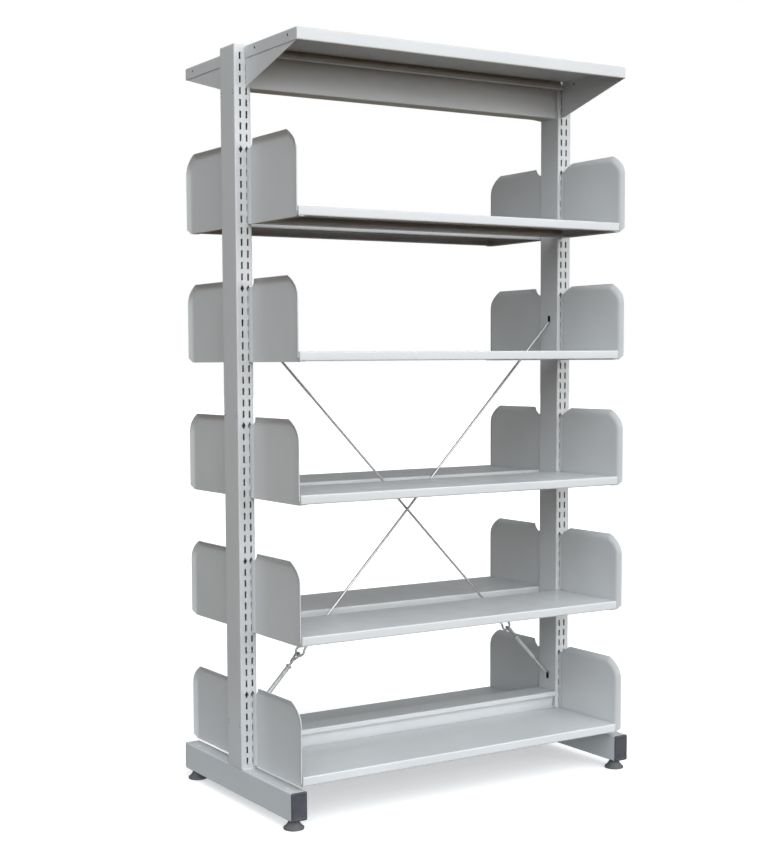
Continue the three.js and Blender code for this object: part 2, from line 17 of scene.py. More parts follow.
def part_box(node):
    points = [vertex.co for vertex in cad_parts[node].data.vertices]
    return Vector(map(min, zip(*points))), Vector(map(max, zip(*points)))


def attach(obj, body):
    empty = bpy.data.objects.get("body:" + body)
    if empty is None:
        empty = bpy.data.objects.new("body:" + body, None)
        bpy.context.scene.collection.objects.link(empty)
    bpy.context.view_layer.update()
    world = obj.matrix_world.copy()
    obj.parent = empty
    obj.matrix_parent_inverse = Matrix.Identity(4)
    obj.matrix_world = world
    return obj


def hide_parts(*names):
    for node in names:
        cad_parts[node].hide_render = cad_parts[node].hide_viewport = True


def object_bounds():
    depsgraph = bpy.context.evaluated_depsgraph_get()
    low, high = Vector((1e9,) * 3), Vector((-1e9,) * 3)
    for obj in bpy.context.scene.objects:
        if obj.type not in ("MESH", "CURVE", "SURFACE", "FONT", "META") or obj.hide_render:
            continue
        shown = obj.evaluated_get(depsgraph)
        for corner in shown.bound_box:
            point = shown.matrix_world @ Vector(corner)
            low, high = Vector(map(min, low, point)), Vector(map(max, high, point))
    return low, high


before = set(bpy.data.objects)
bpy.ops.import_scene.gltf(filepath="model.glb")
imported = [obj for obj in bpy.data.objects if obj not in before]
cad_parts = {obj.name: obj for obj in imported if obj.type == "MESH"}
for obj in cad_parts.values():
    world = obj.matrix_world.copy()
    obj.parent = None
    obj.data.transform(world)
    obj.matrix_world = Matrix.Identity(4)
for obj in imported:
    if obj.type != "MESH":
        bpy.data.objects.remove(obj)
cad_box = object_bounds()

bl_info = {
    "name": "Double Sided Library Shelving",
    "version": (1, 0, 0),
    "blender": (4, 5, 0),
    "location": "View3D > Sidebar > Shelving",
    "description": "Builds the visible pieces of a steel library shelving bay over its CAD frame",
    "category": "Object",
}

SIDES = ("front", "back")
ENDS = ("left", "right")
LEVELS = range(1, 6)
TIES = ("a", "b")
BEAMS = ("top_beam", "bottom_beam")
QUARTERS = [(side, end) for side in SIDES for end in ENDS]

# Clearances and tolerances
GAP = 0.0003  # clearance of a hook at its wall
SEAT = 0.0001  # clearance of a seated piece
CORE = 0.0001  # radius at which a round piece closes on its axis
WELD = 1e-6  # distance at which two points become one
TINY = 1e-7  # rounding error of a place

# Places that the frame gives
post_low, post_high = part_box("post_right")
tube_low, tube_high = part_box("foot_tube_right")
tray_low, tray_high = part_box("tray_back_1")
bracket_low, bracket_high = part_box("bracket_back_right_1")
canopy_low, canopy_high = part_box("canopy_back")
gusset_low, gusset_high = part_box("gusset_back_right")
foot_low, foot_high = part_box("levelling_foot_back_right")
post_middle = (post_low + post_high) / 2
tube_middle = (tube_low + tube_high) / 2
foot_middle = (foot_low + foot_high) / 2
tray_tops = {(side, level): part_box(f"tray_{side}_{level}")[1].z for side in SIDES for level in LEVELS}


def length(name, description, default):
    """A property that holds a length in metres."""
    return FloatProperty(
        name=name, description=description, default=default, min=0.0, unit="LENGTH", precision=4
    )


def angle(name, description, degrees):
    """A property that holds an angle."""
    return FloatProperty(name=name, description=description, default=math.radians(degrees), subtype="ANGLE")


def amount(name, description, default):
    """A property that holds a plain number."""
    return FloatProperty(name=name, description=description, default=default, precision=3)


def count(name, description, default, least=1):
    """A property that holds a whole number."""
    return IntProperty(name=name, description=description, default=default, min=least)


def vector(name, description, default, **kind):
    """A property that holds a place or a direction."""
    return FloatVectorProperty(name=name, description=description, default=default, subtype="XYZ", **kind)


def glow(name, description, default, **limits):
    """A property that holds the colour and strength of a light."""
    return FloatVectorProperty(
        name=name, description=description, default=default, min=0.0, size=3, subtype="COLOR", **limits
    )


def colour(name, description, default):
    """A property that holds the linear colour of a finish."""
    return glow(name, description, default, max=1.0)


class PostSizes(PropertyGroup):
    """Sizes of the slotted posts."""

    corner: length("Corner", "Outer corner radius of a post", 0.003)
    wall: length("Wall", "Sheet thickness of a post", 0.002)
    slot_pitch: length("Slot pitch", "Distance from slot to slot", 0.025)
    slot_height: length("Slot height", "Height of a slot", 0.015)
    slot_width: length("Slot width", "Width of a slot", 0.0042)
    slot_start: length("First slot", "Middle of the lowest slot above the foot of the post", 0.0184)
    slot_inset: length("Slot inset", "Middle of the inner slot column from the inner face", 0.01075)
    slot_gap: length("Column gap", "Distance between the two slot columns", 0.015)
    slot_count: count("Slots", "Slots in a column", 63)
    first_mark: count("First diamond", "Number of the lowest diamond slot, from 0", 6, least=0)
    marks_every: count("Diamond spacing", "Slots from diamond to diamond", 12, least=2)
    mark_width: length("Diamond width", "Width of a diamond slot", 0.0095)
    mark_tip: length("Diamond tip", "Width of a diamond slot at its ends", 0.0012)
    brace_slot_height: length("Brace slot height", "Height of the slots for the cross brace", 0.020)
    brace_slot_width: length("Brace slot width", "Width of the slots for the cross brace", 0.0116)
    brace_low: length("Lower brace slot", "Middle of the lower brace slot above the floor", 0.191)
    brace_high: length("Upper brace slot", "Middle of the upper brace slot above the floor", 1.092)
    beam_slot_shift: length("Beam slot shift", "How far the beam slots stand outside the webs", 0.0014)
    edge: length("Edge", "Softening of the painted edges", 0.0004)


class FootSizes(PropertyGroup):
    """Sizes of the foot tubes, their caps and the levelling feet."""

    corner: length("Tube corner", "Outer corner radius of a foot tube", 0.003)
    wall: length("Tube wall", "Wall of a foot tube", 0.002)
    stud_hole: length("Stud hole", "Radius of the hole for a stud", 0.0058)
    edge: length("Edge", "Softening of the painted edges", 0.0004)
    plug_inset: length("Plug inset", "Distance of a cap's plug from the tube's outside", 0.0023)
    plug_length: length("Plug length", "Length of a cap's plug in the tube", 0.012)
    stud: length("Stud", "Radius of a levelling foot's stud", 0.005)
    thread_depth: length("Thread depth", "Depth of the stud's thread", 0.0006)
    thread_pitch: length("Thread pitch", "Pitch of the stud's thread", 0.0015)
    stud_start: length("Stud start", "Lower end of the stud, in the glide's collar", 0.0165)


class FixingSizes(PropertyGroup):
    """Sizes and places of the rivets and welds."""

    post_rivet: length("Post rivet", "Bore of the rivets in the posts' outer faces", 0.0016)
    rivet_side: length("Rivet side", "Distance of these rivets from the post's middle", 0.026)
    rivet_rise: length("Rivet rise", "Half the distance between the two rivets of a pair", 0.0036)
    rivet_low: length("Low rivets", "Height of the lowest pairs above the floor", 0.184)
    rivet_mid: length("Middle rivets", "Height of the middle pairs above the floor", 0.878)
    rivet_high: length("High rivets", "Height of the highest pairs above the floor", 1.576)
    canopy_rivet: length("Canopy rivet", "Bore of the rivets in the canopies' end aprons", 0.0027)
    canopy_drop: length("Canopy rivet drop", "Distance of these rivets below the canopy's top", 0.0112)
    canopy_rear: length("Rear rivet", "Distance of the rear rivets from the bay's middle", 0.0795)
    canopy_front: length("Front rivet", "Distance of the front rivets from the bay's middle", 0.2215)
    weld: length("Weld", "Radius of the weld beads at the posts", 0.0021)
    weld_inset: length("Weld inset", "Distance of a bead's ends from the tube's sides", 0.003)
    weld_gap: length("Weld gap", "Distance of a bead's middle line from the post's face", 0.0002)
    plug_weld: length("Plug weld", "Radius of the plug welds on the foot tubes", 0.0036)
    plug_height: length("Plug height", "Height of a plug weld", 0.0012)
    plug_shift: length("Plug shift", "Distance of the plug welds from the tube's middle line", 0.0045)
    plug_near: length("Near plug", "Distance of the inner plug welds from the bay's middle", 0.074)
    plug_far: length("Far plug", "Distance of the outer plug welds from the bay's middle", 0.2125)


class SheetSizes(PropertyGroup):
    """Sizes of the folded trays, canopies, gussets and beams."""

    tray_sheet: length("Tray sheet", "Sheet thickness of the trays and canopies", 0.0012)
    bend: length("Bend", "Radius of the folds", 0.0022)
    relief: length("Relief", "Distance of the returns from a sheet's corners", 0.004)
    tray_return: length("Tray return", "Width of the return under a tray's front lip", 0.015)
    gutter: length("Gutter", "Width of the gutter behind a tray", 0.010)
    hem: length("Hem", "Height of the gutter's hem", 0.008)
    canopy_return: length("Canopy return", "Width of the return under a canopy's apron", 0.012)
    canopy_lip: length("Canopy rear lip", "Height of a canopy's rear lip", 0.020)
    lip_inset: length("Rear lip inset", "Distance of the rear lip's ends from the gussets", 0.005)
    gusset_sheet: length("Gusset sheet", "Sheet thickness of the gussets", 0.0015)
    gusset_land: length("Gusset land", "Width of a gusset's lower end", 0.008)
    beam_sheet: length("Beam sheet", "Sheet thickness of the beams", 0.0015)
    beam_width: length("Beam width", "Width of a beam's box", 0.046)
    beam_lip: length("Beam lip", "Height of the lips of a beam's flange", 0.011)
    beam_hook_low: length("Lower beam hook", "Slot floor of the lower hooks above the beam's foot", 0.018)
    beam_hook_high: length("Upper beam hook", "Slot floor of the upper hooks above the beam's foot", 0.043)
    edge: length("Edge", "Softening of the cut sheet edges", 0.00025)


class BracketSizes(PropertyGroup):
    """Sizes of the shelf brackets with their flared rims."""

    sheet: length("Sheet", "Sheet thickness of a bracket", 0.0015)
    rise: length("Rise", "Height of a bracket above its tray", 0.159)
    lip: length("Tray lip", "Height of the tray's lip that the ledge carries", 0.020)
    ledge: length("Ledge", "Width of the ledge under the tray", 0.015)
    ledge_inset: length("Ledge inset", "Distance of the ledge from the tray's front", 0.0015)
    relief: length("Relief", "Cuts beside the ledge's fold", 0.003)
    bend: length("Bend", "Radius of the ledge's fold", 0.002)
    edge: length("Edge", "Softening of the cut sheet edges", 0.0003)
    joggle: length("Joggle", "Step of the sheet beside the post", 0.002)
    joggle_inset: length("Joggle inset", "Start of the step from the post's face", 0.009)
    joggle_run: length("Joggle run", "Length of the step", 0.006)
    strap_fall: length("Strap fall", "Fall of the strap's top edge towards the post", 0.0035)
    front_arc: length("Front arc", "Radius of the corner's lower arc", 0.038)
    top_arc: length("Top arc", "Radius of the corner's upper arc", 0.090)
    arc_join: angle("Arc join", "Slope at which the two arcs meet", 45)
    arc_end: angle("Arc end", "Break between the upper arc and the top edge", 22)
    flare: length("Flare", "Width of the flared rim", 0.0162)
    flare_radius: length("Flare radius", "Bend radius of the flared rim", 0.018)
    flare_angle: angle("Flare angle", "Outward slope of the flared rim", 33)
    chamfer: length("Chamfer", "Cut at the rim's lower end", 0.010)
    notch: length("Notch", "Reach of the notch behind the rim", 0.021)
    hook_drop: length("Hook drop", "Drop of a hook behind the post's wall", 0.006)
    hook_root: length("Hook root", "Height of a hook above the slot's floor", 0.008)
    hook_depth: length("Hook depth", "Thickness of a hook behind the wall", 0.0025)
    tray_below_mark: length("Tray below diamond", "Top of the tray below its diamond slot", 0.1391)


class BraceSizes(PropertyGroup):
    """Sizes of the cross brace."""

    offset: length("Offset", "Distance of each tie from the middle plane", 0.003)
    rod: length("Rod", "Radius of the rods", 0.0027)
    bend: length("Bend", "Bend radius of the hooked ends", 0.004)
    leg: length("Leg", "Length of the leg behind the post's wall", 0.012)
    eye: length("Eye", "Middle radius of the eyes", 0.008)
    loop: length("Loop", "Middle radius of the loop at the end of a tie rod", 0.011)
    eye_place: length("Eye place", "Where the eyes meet, from the lower hook", 0.174)
    sleeve: length("Sleeve", "Radius of a tension sleeve", 0.005)
    sleeve_start: length("Sleeve start", "Lower end of a sleeve from the lower hook", 0.054)
    sleeve_length: length("Sleeve length", "Length of a tension sleeve", 0.081)
    grip: length("Grip", "Length of the rods inside a sleeve", 0.030)
    chamfer: length("Chamfer", "Chamfer of the sleeves and lock nuts", 0.0009)
    nut: length("Lock nut", "Radius of a lock nut over its corners", 0.0065)
    nut_length: length("Lock nut length", "Length of a lock nut", 0.006)
    thread_run: length("Thread run", "Thread that shows above a lock nut", 0.006)
    thread_depth: length("Thread depth", "Depth of the eye bolts' thread", 0.0003)
    thread_pitch: length("Thread pitch", "Pitch of the eye bolts' thread", 0.0008)
    gap: length("Gap", "Clearance of touching pieces", 0.0003)


class FinishSettings(PropertyGroup):
    """Colours and textures of the finishes."""

    paint: colour("Powder coat", "Colour of the powder coat", (0.596, 0.611, 0.620))
    paint_shade: colour("Coat shade", "Darker tone of the powder coat's variation", (0.562, 0.577, 0.586))
    paint_gloss: amount("Powder coat roughness", "Mean roughness of the powder coat", 0.235)
    peel_size: length("Orange peel", "Size of the powder coat's grain", 0.0016)
    plastic: colour("Black plastic", "Colour of the moulded plastic", (0.045, 0.045, 0.056))
    glide: colour("Glide plastic", "Colour of the levelling feet's glides", (0.095, 0.095, 0.100))
    zinc: colour("Zinc", "Colour of the zinc plate", (0.58, 0.585, 0.575))
    rod: colour("Drawn rod", "Colour of the drawn tie rods", (0.62, 0.62, 0.60))


class StageSettings(PropertyGroup):
    """Camera, floor and light."""

    camera_place: vector("Camera place", "Place of the camera", (-1.9993, -2.9475, 0.9941), unit="LENGTH")
    camera_yaw: angle("Camera yaw", "Turn of the camera to the right of +Y", 31.0257)
    camera_pitch: angle("Camera pitch", "Tilt of the camera above the horizon", -4.2857)
    camera_roll: angle("Camera roll", "Roll of the camera", -0.401)
    camera_lens: FloatProperty(name="Lens", description="Focal length in millimetres", default=63.295)
    camera_shift: FloatVectorProperty(
        name="Shift", description="Shift of the frame", size=2, default=(0.07625, 0.05503)
    )
    floor: colour("Floor", "Colour of the floor", (0.90, 0.90, 0.90))
    floor_drop: length("Floor drop", "Distance of the floor below the part's lowest point", 0.0002)
    floor_lift: amount("Floor lift", "How far the floor's shadows are lifted", 0.45)
    bounce: glow("Floor bounce", "Light that the floor beside the shelving sends up", (0.2, 0.22, 0.235))
    ground: glow("Ground bounce", "Light that the ground farther off sends up", (0.085, 0.045, 0.006))
    bounce_near: length("Near floor", "Distance at which the floor's light starts to change", 0.5)
    bounce_far: length("Far floor", "Distance at which the ground's light is reached", 1.5)
    sky_front: glow("Front sky", "Light from the front", (2.05, 2.03, 2.01))
    sky_back: glow("Back sky", "Light from behind and above", (0.29, 0.29, 0.29))
    sky_left: glow("Left sky", "Light from the left", (0.14, 0.145, 0.15))
    sky_right: glow("Right sky", "Light from the right", (0.44, 0.44, 0.44))
    sky_key: glow("Key sky", "Light of the large window", (2.03, 2.13, 2.22))
    key_from: vector("Key direction", "Direction of the large window", (-0.25, -0.72, 0.62))


SETTINGS = {
    "shelving_posts": PostSizes,
    "shelving_feet": FootSizes,
    "shelving_fixings": FixingSizes,
    "shelving_sheets": SheetSizes,
    "shelving_brackets": BracketSizes,
    "shelving_brace": BraceSizes,
    "shelving_finish": FinishSettings,
    "shelving_stage": StageSettings,
}


# Outlines


def turns(sides):
    """Equal angles round a circle."""
    return [2 * math.pi * i / sides for i in range(sides)]


def arc(centre, radius, start, end, steps):
    """Points on a circular arc, both ends included."""
    angles = (start + (end - start) * i / steps for i in range(steps + 1))
    return [(centre[0] + radius * math.cos(t), centre[1] + radius * math.sin(t)) for t in angles]


def rounded_rectangle(width, height, radius, steps):
    """Outline of a rectangle with round corners about its middle, anticlockwise from its right side."""
    points = []
    for quarter, (sx, sy) in enumerate(((1, 1), (-1, 1), (-1, -1), (1, -1))):
        centre = (sx * (width / 2 - radius), sy * (height / 2 - radius))
        start = quarter * math.pi / 2
        points += arc(centre, radius, start, start + math.pi / 2, steps)
    return points


def offset_path(points, distance):
    """A path of points in a plane, shifted to its left with mitred corners."""
    shifted = []
    last = len(points) - 1
    for i, point in enumerate(points):
        here = Vector(point)
        into = (here - Vector(points[i - 1])).normalized() if i else None
        out = (Vector(points[i + 1]) - here).normalized() if i < last else into
        into = into or out
        middle = (into + out).normalized()
        side = Vector((-middle.y, middle.x))
        shifted.append(here + side * (distance / middle.dot(into)))
    return shifted


def rounded_path(corners, radius, steps=6):
    """A path through corner points with each inner corner rounded."""
    points = [Vector(c) for c in corners]
    path = [points[0]]
    for before, here, after in zip(points, points[1:], points[2:]):
        into, out = (here - before).normalized(), (after - here).normalized()
        reach = radius * math.tan(into.angle(out) / 2)
        start, end = here - into * reach, here + out * reach
        for i in range(steps + 1):
            k = i / steps
            path.append(start * (1 - k) ** 2 + here * 2 * k * (1 - k) + end * k**2)
    return [*path, points[-1]]


# Meshes


def panels(faces):
    """A mesh of flat faces given by their corner points, welded where they meet."""
    bm = bmesh.new()
    for corners in faces:
        bm.faces.new([bm.verts.new(corner) for corner in corners])
    bmesh.ops.remove_doubles(bm, verts=bm.verts, dist=WELD)
    bmesh.ops.recalc_face_normals(bm, faces=bm.faces)
    return bm


def strip(half, near, far):
    """A flat panel along X between two (y, z) edges."""
    return [(-half, *near), (half, *near), (half, *far), (-half, *far)]


def fold(bm, radius, least=0.6):
    """Rounds every edge where two panels meet at more than the least angle."""
    edges = [e for e in bm.edges if len(e.link_faces) == 2 and e.calc_face_angle(0) > least]
    bmesh.ops.bevel(
        bm, geom=edges, offset=radius, segments=3, profile=0.5, affect="EDGES", clamp_overlap=True
    )
    return bm


def prism(outline, low, high, place_point):
    """A closed solid of one outline between two heights; place_point turns (a, b, height) into a point."""
    bottom = [place_point(a, b, low) for a, b in outline]
    top = [place_point(a, b, high) for a, b in outline]
    after = [(i + 1) % len(outline) for i in range(len(outline))]
    sides = [[bottom[i], bottom[j], top[j], top[i]] for i, j in enumerate(after)]
    return panels([bottom, top, *sides])


def loft(loops, closed=True):
    """A mesh through rings of points, with its end rings filled."""
    bm = bmesh.new()
    rings = [[bm.verts.new(point) for point in loop] for loop in loops]
    total = len(rings[0])
    for low, high in zip(rings, rings[1:]):
        for i in range(total):
            bm.faces.new((low[i], low[(i + 1) % total], high[(i + 1) % total], high[i]))
    if closed:
        bm.faces.new(rings[0])
        bm.faces.new(rings[-1])
    bmesh.ops.recalc_face_normals(bm, faces=bm.faces)
    return bm


def lathe(profile, sides):
    """A round solid about Z from (radius, height) points; a ring closes where both ends meet."""
    loops = [[(r * math.cos(t), r * math.sin(t), z) for t in turns(sides)] for r, z in profile]
    bm = loft(loops, closed=profile[0] != profile[-1])
    bmesh.ops.remove_doubles(bm, verts=bm.verts, dist=TINY)
    bmesh.ops.recalc_face_normals(bm, faces=bm.faces)
    return bm


def thread(radius, depth, pitch, low, high, sides=20):
    """A rod about Z with a true helical thread between two heights."""
    bm = bmesh.new()
    rings = int(2 * (high - low) / pitch)
    columns = []
    for i, t in enumerate(turns(sides)):
        rise = pitch * i / sides
        column = []
        for ring in range(rings):
            r = radius if ring % 2 else radius - depth
            z = min(max(low + ring * pitch / 2 + rise - pitch, low), high)
            column.append(bm.verts.new((r * math.cos(t), r * math.sin(t), z)))
        columns.append(column)
    for i in range(sides):
        here, there = columns[i], columns[(i + 1) % sides]
        step = 2 if i == sides - 1 else 0
        for ring in range(rings - 1 - step):
            bm.faces.new((here[ring], there[ring + step], there[ring + 1 + step], here[ring + 1]))
    bmesh.ops.recalc_face_normals(bm, faces=bm.faces)
    return bm


def tube(path, radius, sides=14):
    """A rod swept along a path of points, with flat ends."""
    points = [Vector(p) for p in path]
    tangents = []
    for i in range(len(points)):
        before, after = points[max(i - 1, 0)], points[min(i + 1, len(points) - 1)]
        tangents.append((after - before).normalized())
    side = tangents[0].orthogonal().normalized()
    loops = []
    for point, tangent in zip(points, tangents):
        side = (side - tangent * side.dot(tangent)).normalized()
        up = tangent.cross(side)
        loops.append([point + (side * math.cos(t) + up * math.sin(t)) * radius for t in turns(sides)])
    return loft(loops)


def joined(*parts):
    """One mesh of several closed shells."""
    whole = bmesh.new()
    for part in parts:
        mesh = bpy.data.meshes.new("part")
        part.to_mesh(mesh)
        part.free()
        whole.from_mesh(mesh)
        bpy.data.meshes.remove(mesh)
    return whole


def moved(bm, step):
    """The same mesh, moved."""
    bmesh.ops.translate(bm, vec=step, verts=bm.verts)
    return bm


def turned(bm, turn, axis):
    """The same mesh, turned about the origin."""
    bmesh.ops.rotate(bm, cent=(0, 0, 0), matrix=Matrix.Rotation(turn, 3, axis), verts=bm.verts)
    return bm


def mirrored(bm):
    """The same mesh, mirrored in X."""
    bmesh.ops.scale(bm, vec=(-1, 1, 1), verts=bm.verts)
    bmesh.ops.reverse_faces(bm, faces=bm.faces)
    return bm


def shape(name, bm, sheet=0.0, offset=0.0, edge=0.0, edge_steps=2):
    """The finished mesh: its sheet gets its thickness, its edges are softened and its flats shaded flat."""
    mesh = bpy.data.meshes.new(name + ".base")
    bm.to_mesh(mesh)
    bm.free()
    mesh.shade_smooth()
    draft = bpy.data.objects.new(name + ".draft", mesh)
    bpy.context.scene.collection.objects.link(draft)
    if sheet:
        solidify = draft.modifiers.new("Sheet", "SOLIDIFY")
        solidify.thickness = sheet
        solidify.offset = offset
        solidify.use_even_offset = True
    if edge:
        bevel = draft.modifiers.new("Edge", "BEVEL")
        bevel.width = edge
        bevel.segments = edge_steps
        bevel.limit_method = "ANGLE"
        bevel.angle_limit = math.radians(40)
        bevel.use_clamp_overlap = True
    normals = draft.modifiers.new("Flats", "WEIGHTED_NORMAL")
    normals.keep_sharp = True
    graph = bpy.context.evaluated_depsgraph_get()
    finished = draft.evaluated_get(graph)
    done = bpy.data.meshes.new_from_object(finished, preserve_all_data_layers=True, depsgraph=graph)
    done.name = name
    bpy.data.objects.remove(draft)
    bpy.data.meshes.remove(mesh)
    return done


# Finishes

# Sockets of a colour mix, which share their names with other sockets
FIRST_COLOUR, SECOND_COLOUR, MIXED_COLOUR = 6, 7, 2


def fresh_nodes(owner, output):
    """The emptied node tree of a material or a world, and the surface socket of its new output."""
    owner.use_nodes = True
    tree = owner.node_tree
    tree.nodes.clear()
    return tree, tree.nodes.new(output).inputs["Surface"]


def feed(tree, socket, value):
    """Links a socket to the output of another node, or sets it to a plain value."""
    if isinstance(value, bpy.types.NodeSocket):
        tree.links.new(value, socket)
    else:
        socket.default_value = value


def add_node(tree, kind, inputs, **settings):
    """A shader node with its settings made and its inputs fed."""
    node = tree.nodes.new(kind)
    for name, value in settings.items():
        setattr(node, name, value)
    for key, value in inputs.items():
        feed(tree, node.inputs[key], value)
    return node


def number_math(tree, operation, one, other):
    """The result of a sum on two numbers."""
    return add_node(tree, "ShaderNodeMath", {0: one, 1: other}, operation=operation).outputs["Value"]


def vector_math(tree, operation, inputs, result="Vector"):
    """The result of a sum on vectors, which is a plain number for some operations."""
    return add_node(tree, "ShaderNodeVectorMath", inputs, operation=operation).outputs[result]


def noise(tree, scale, detail):
    """A noise over the object's own space that differs from piece to piece."""
    farthest_shift = 37.0
    piece = add_node(tree, "ShaderNodeObjectInfo", {}).outputs["Random"]
    shift = number_math(tree, "MULTIPLY", piece, farthest_shift)
    own_space = add_node(tree, "ShaderNodeTexCoord", {}).outputs["Object"]
    inputs = {"Vector": own_space, "W": shift, "Scale": scale, "Detail": detail}
    return add_node(tree, "ShaderNodeTexNoise", inputs, noise_dimensions="4D").outputs["Fac"]


def ranged(tree, value, low=0.0, high=1.0, start=0.3, end=0.7):
    """A value stretched from one range over another."""
    inputs = {"Value": value, "From Min": start, "From Max": end, "To Min": low, "To Max": high}
    return add_node(tree, "ShaderNodeMapRange", inputs).outputs["Result"]


def blend(tree, factor, one, other):
    """A colour between two, by a value; a colour may be a socket."""
    first, second = (c if isinstance(c, bpy.types.NodeSocket) else (*c, 1.0) for c in (one, other))
    inputs = {"Factor": factor, FIRST_COLOUR: first, SECOND_COLOUR: second}
    return add_node(tree, "ShaderNodeMix", inputs, data_type="RGBA").outputs[MIXED_COLOUR]


def bump(tree, height, strength, depth):
    """A bumped normal from a height."""
    inputs = {"Height": height, "Strength": strength, "Distance": depth}
    return add_node(tree, "ShaderNodeBump", inputs).outputs["Normal"]


def edge_mask(tree, radius):
    """Near 1 on sharp edges and 0 on flats."""
    soft = add_node(tree, "ShaderNodeBevel", {"Radius": radius}, samples=4).outputs["Normal"]
    flat = add_node(tree, "ShaderNodeNewGeometry", {}).outputs["Normal"]
    likeness = vector_math(tree, "DOT_PRODUCT", {0: soft, 1: flat}, "Value")
    return ranged(tree, likeness, 1.0, 0.0, start=0.75, end=0.98)


def powder_coat(tree, settings):
    """Satin powder coat: orange peel, faint clouding and edges lightened by a painted highlight."""
    lightening, highlight_share, gloss_range = 1.16, 0.55, 0.03
    clouds = ranged(tree, noise(tree, scale=7.0, detail=4.0))
    tone = blend(tree, clouds, settings.paint_shade, settings.paint)
    # Painted highlight: the edges are blended towards a paler coat where bends catch the light
    edges = ranged(tree, edge_mask(tree, radius=0.0012), high=highlight_share, start=0.0, end=1.0)
    painted_edge_highlight = [min(1.0, c * lightening) for c in settings.paint]
    gloss, smudges = settings.paint_gloss, noise(tree, scale=23.0, detail=5.0)
    peel = noise(tree, scale=1.0 / settings.peel_size, detail=2.0)
    return {
        "Base Color": blend(tree, edges, tone, painted_edge_highlight),
        "Roughness": ranged(tree, smudges, gloss - gloss_range, gloss + gloss_range),
        "Normal": bump(tree, peel, strength=0.10, depth=0.0002),
        "IOR": 1.5,
    }


def moulded_plastic(tree, tone):
    """Moulded plastic with a fine spark-eroded grain."""
    dust_lift = 0.022
    dust = [c + dust_lift for c in tone]
    return {
        "Base Color": blend(tree, ranged(tree, noise(tree, scale=60.0, detail=4.0)), tone, dust),
        "Roughness": ranged(tree, noise(tree, scale=140.0, detail=3.0), low=0.42, high=0.58),
        "Normal": bump(tree, noise(tree, scale=2600.0, detail=2.0), strength=0.25, depth=0.00012),
    }


def black_plastic(tree, settings):
    """The black plastic of the end caps."""
    return moulded_plastic(tree, settings.plastic)


def glide_plastic(tree, settings):
    """The greyer plastic of the glides."""
    return moulded_plastic(tree, settings.glide)


def grained_metal(tree, bright, metallic, smooth, rough):
    """Metal with a fine grain, between two roughnesses."""
    dulling = 0.82
    dull = [c * dulling for c in bright]
    return {
        "Base Color": blend(tree, ranged(tree, noise(tree, scale=180.0, detail=5.0)), dull, bright),
        "Roughness": ranged(tree, noise(tree, scale=420.0, detail=4.0), smooth, rough),
        "Normal": bump(tree, noise(tree, scale=1500.0, detail=3.0), strength=0.12, depth=0.0001),
        "Metallic": metallic,
    }


def zinc_plate(tree, settings):
    """Dull zinc plate."""
    return grained_metal(tree, settings.zinc, metallic=0.35, smooth=0.42, rough=0.56)


def drawn_rod(tree, settings):
    """Bare drawn steel, brighter than the zinc plate."""
    return grained_metal(tree, settings.rod, metallic=0.9, smooth=0.30, rough=0.40)


def painted_shade_finish(tree, _):
    """Painted shade: a near black that stands for the unlit inside of small holes and of the brace slots."""
    darkest, dark = (0.010, 0.010, 0.011), (0.022, 0.022, 0.024)
    tone = blend(tree, noise(tree, scale=900.0, detail=2.0), darkest, dark)
    return {"Base Color": tone, "Roughness": 0.8}


# The material slot of each finish, and the function that gives its looks
FINISHES = {
    "Powder coat": ("powder_coat", powder_coat),
    "Black plastic": ("black_plastic", black_plastic),
    "Glide plastic": ("black_plastic", glide_plastic),
    # Painted shade for holes and slots, not a colour that the shelving has
    "Painted shade": ("black_plastic", painted_shade_finish),
    "Zinc plate": ("zinc_plate", zinc_plate),
    "Drawn rod": ("zinc_plate", drawn_rod),
}


def material_of(finish):
    """The material of a finish, made when it is first asked for."""
    if finish not in bpy.data.materials:
        material = bpy.data.materials.new(finish)
        tree, surface = fresh_nodes(material, "ShaderNodeOutputMaterial")
        looks = FINISHES[finish][1](tree, bpy.context.scene.shelving_finish)
        feed(tree, surface, add_node(tree, "ShaderNodeBsdfPrincipled", looks).outputs["BSDF"])
    return bpy.data.materials[finish]


# Places


def place(name, mesh, finish, body, matrix=None, nodes=()):
    """Puts a piece on its body, in its finish and in place of its CAD nodes."""
    piece = bpy.data.objects.new(name, mesh)
    bpy.context.scene.collection.objects.link(piece)
    piece.matrix_world = matrix or Matrix.Identity(4)
    if not mesh.materials:
        mesh.materials.append(material_of(finish))
    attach(piece, body)
    if nodes:
        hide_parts(*nodes)


def dress(node, mesh, finish, body, matrix=None):
    """Puts the piece that takes the place and the name of one CAD node."""
    place(node.capitalize(), mesh, finish, body, matrix, [node])


def side_turn(side):
    """The turn from the back of the bay to one of its sides."""
    return Matrix.Rotation(math.pi if side == "front" else 0.0, 4, "Z")


def end_turn(end):
    """The turn from the right end of the bay to one of its ends."""
    return Matrix.Rotation(math.pi if end == "left" else 0.0, 4, "Z")


def on_shelf(side, level):
    """The matrix that puts a piece made about a tray's top on one of the shelves."""
    return Matrix.Translation((0, 0, tray_tops[side, level])) @ side_turn(side)


def is_as_made(side, end):
    """True for the quarters that are the back right one, or its half turn."""
    return (side == "back") == (end == "right")


# Posts


def slot_floor(index):
    """Height of the floor of a slot in the posts, counted from the top when negative."""
    sizes = bpy.context.scene.shelving_posts
    index = index if index >= 0 else sizes.slot_count + index
    return post_low.z + sizes.slot_start + sizes.slot_pitch * index - sizes.slot_height / 2


def beam_slot_floors(beam):
    """Heights of the floors of the slots that take a beam's lower and upper hooks."""
    sizes = bpy.context.scene.shelving_sheets
    return [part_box(beam)[0].z + height for height in (sizes.beam_hook_low, sizes.beam_hook_high)]


def face_slots(sizes):
    """Floor and top of each slot in a column, and whether it is a diamond."""
    slots = []
    for index in range(sizes.slot_count):
        diamond = (index - sizes.first_mark) % sizes.marks_every == 0
        slots.append((slot_floor(index), slot_floor(index) + sizes.slot_height, diamond))
    return slots


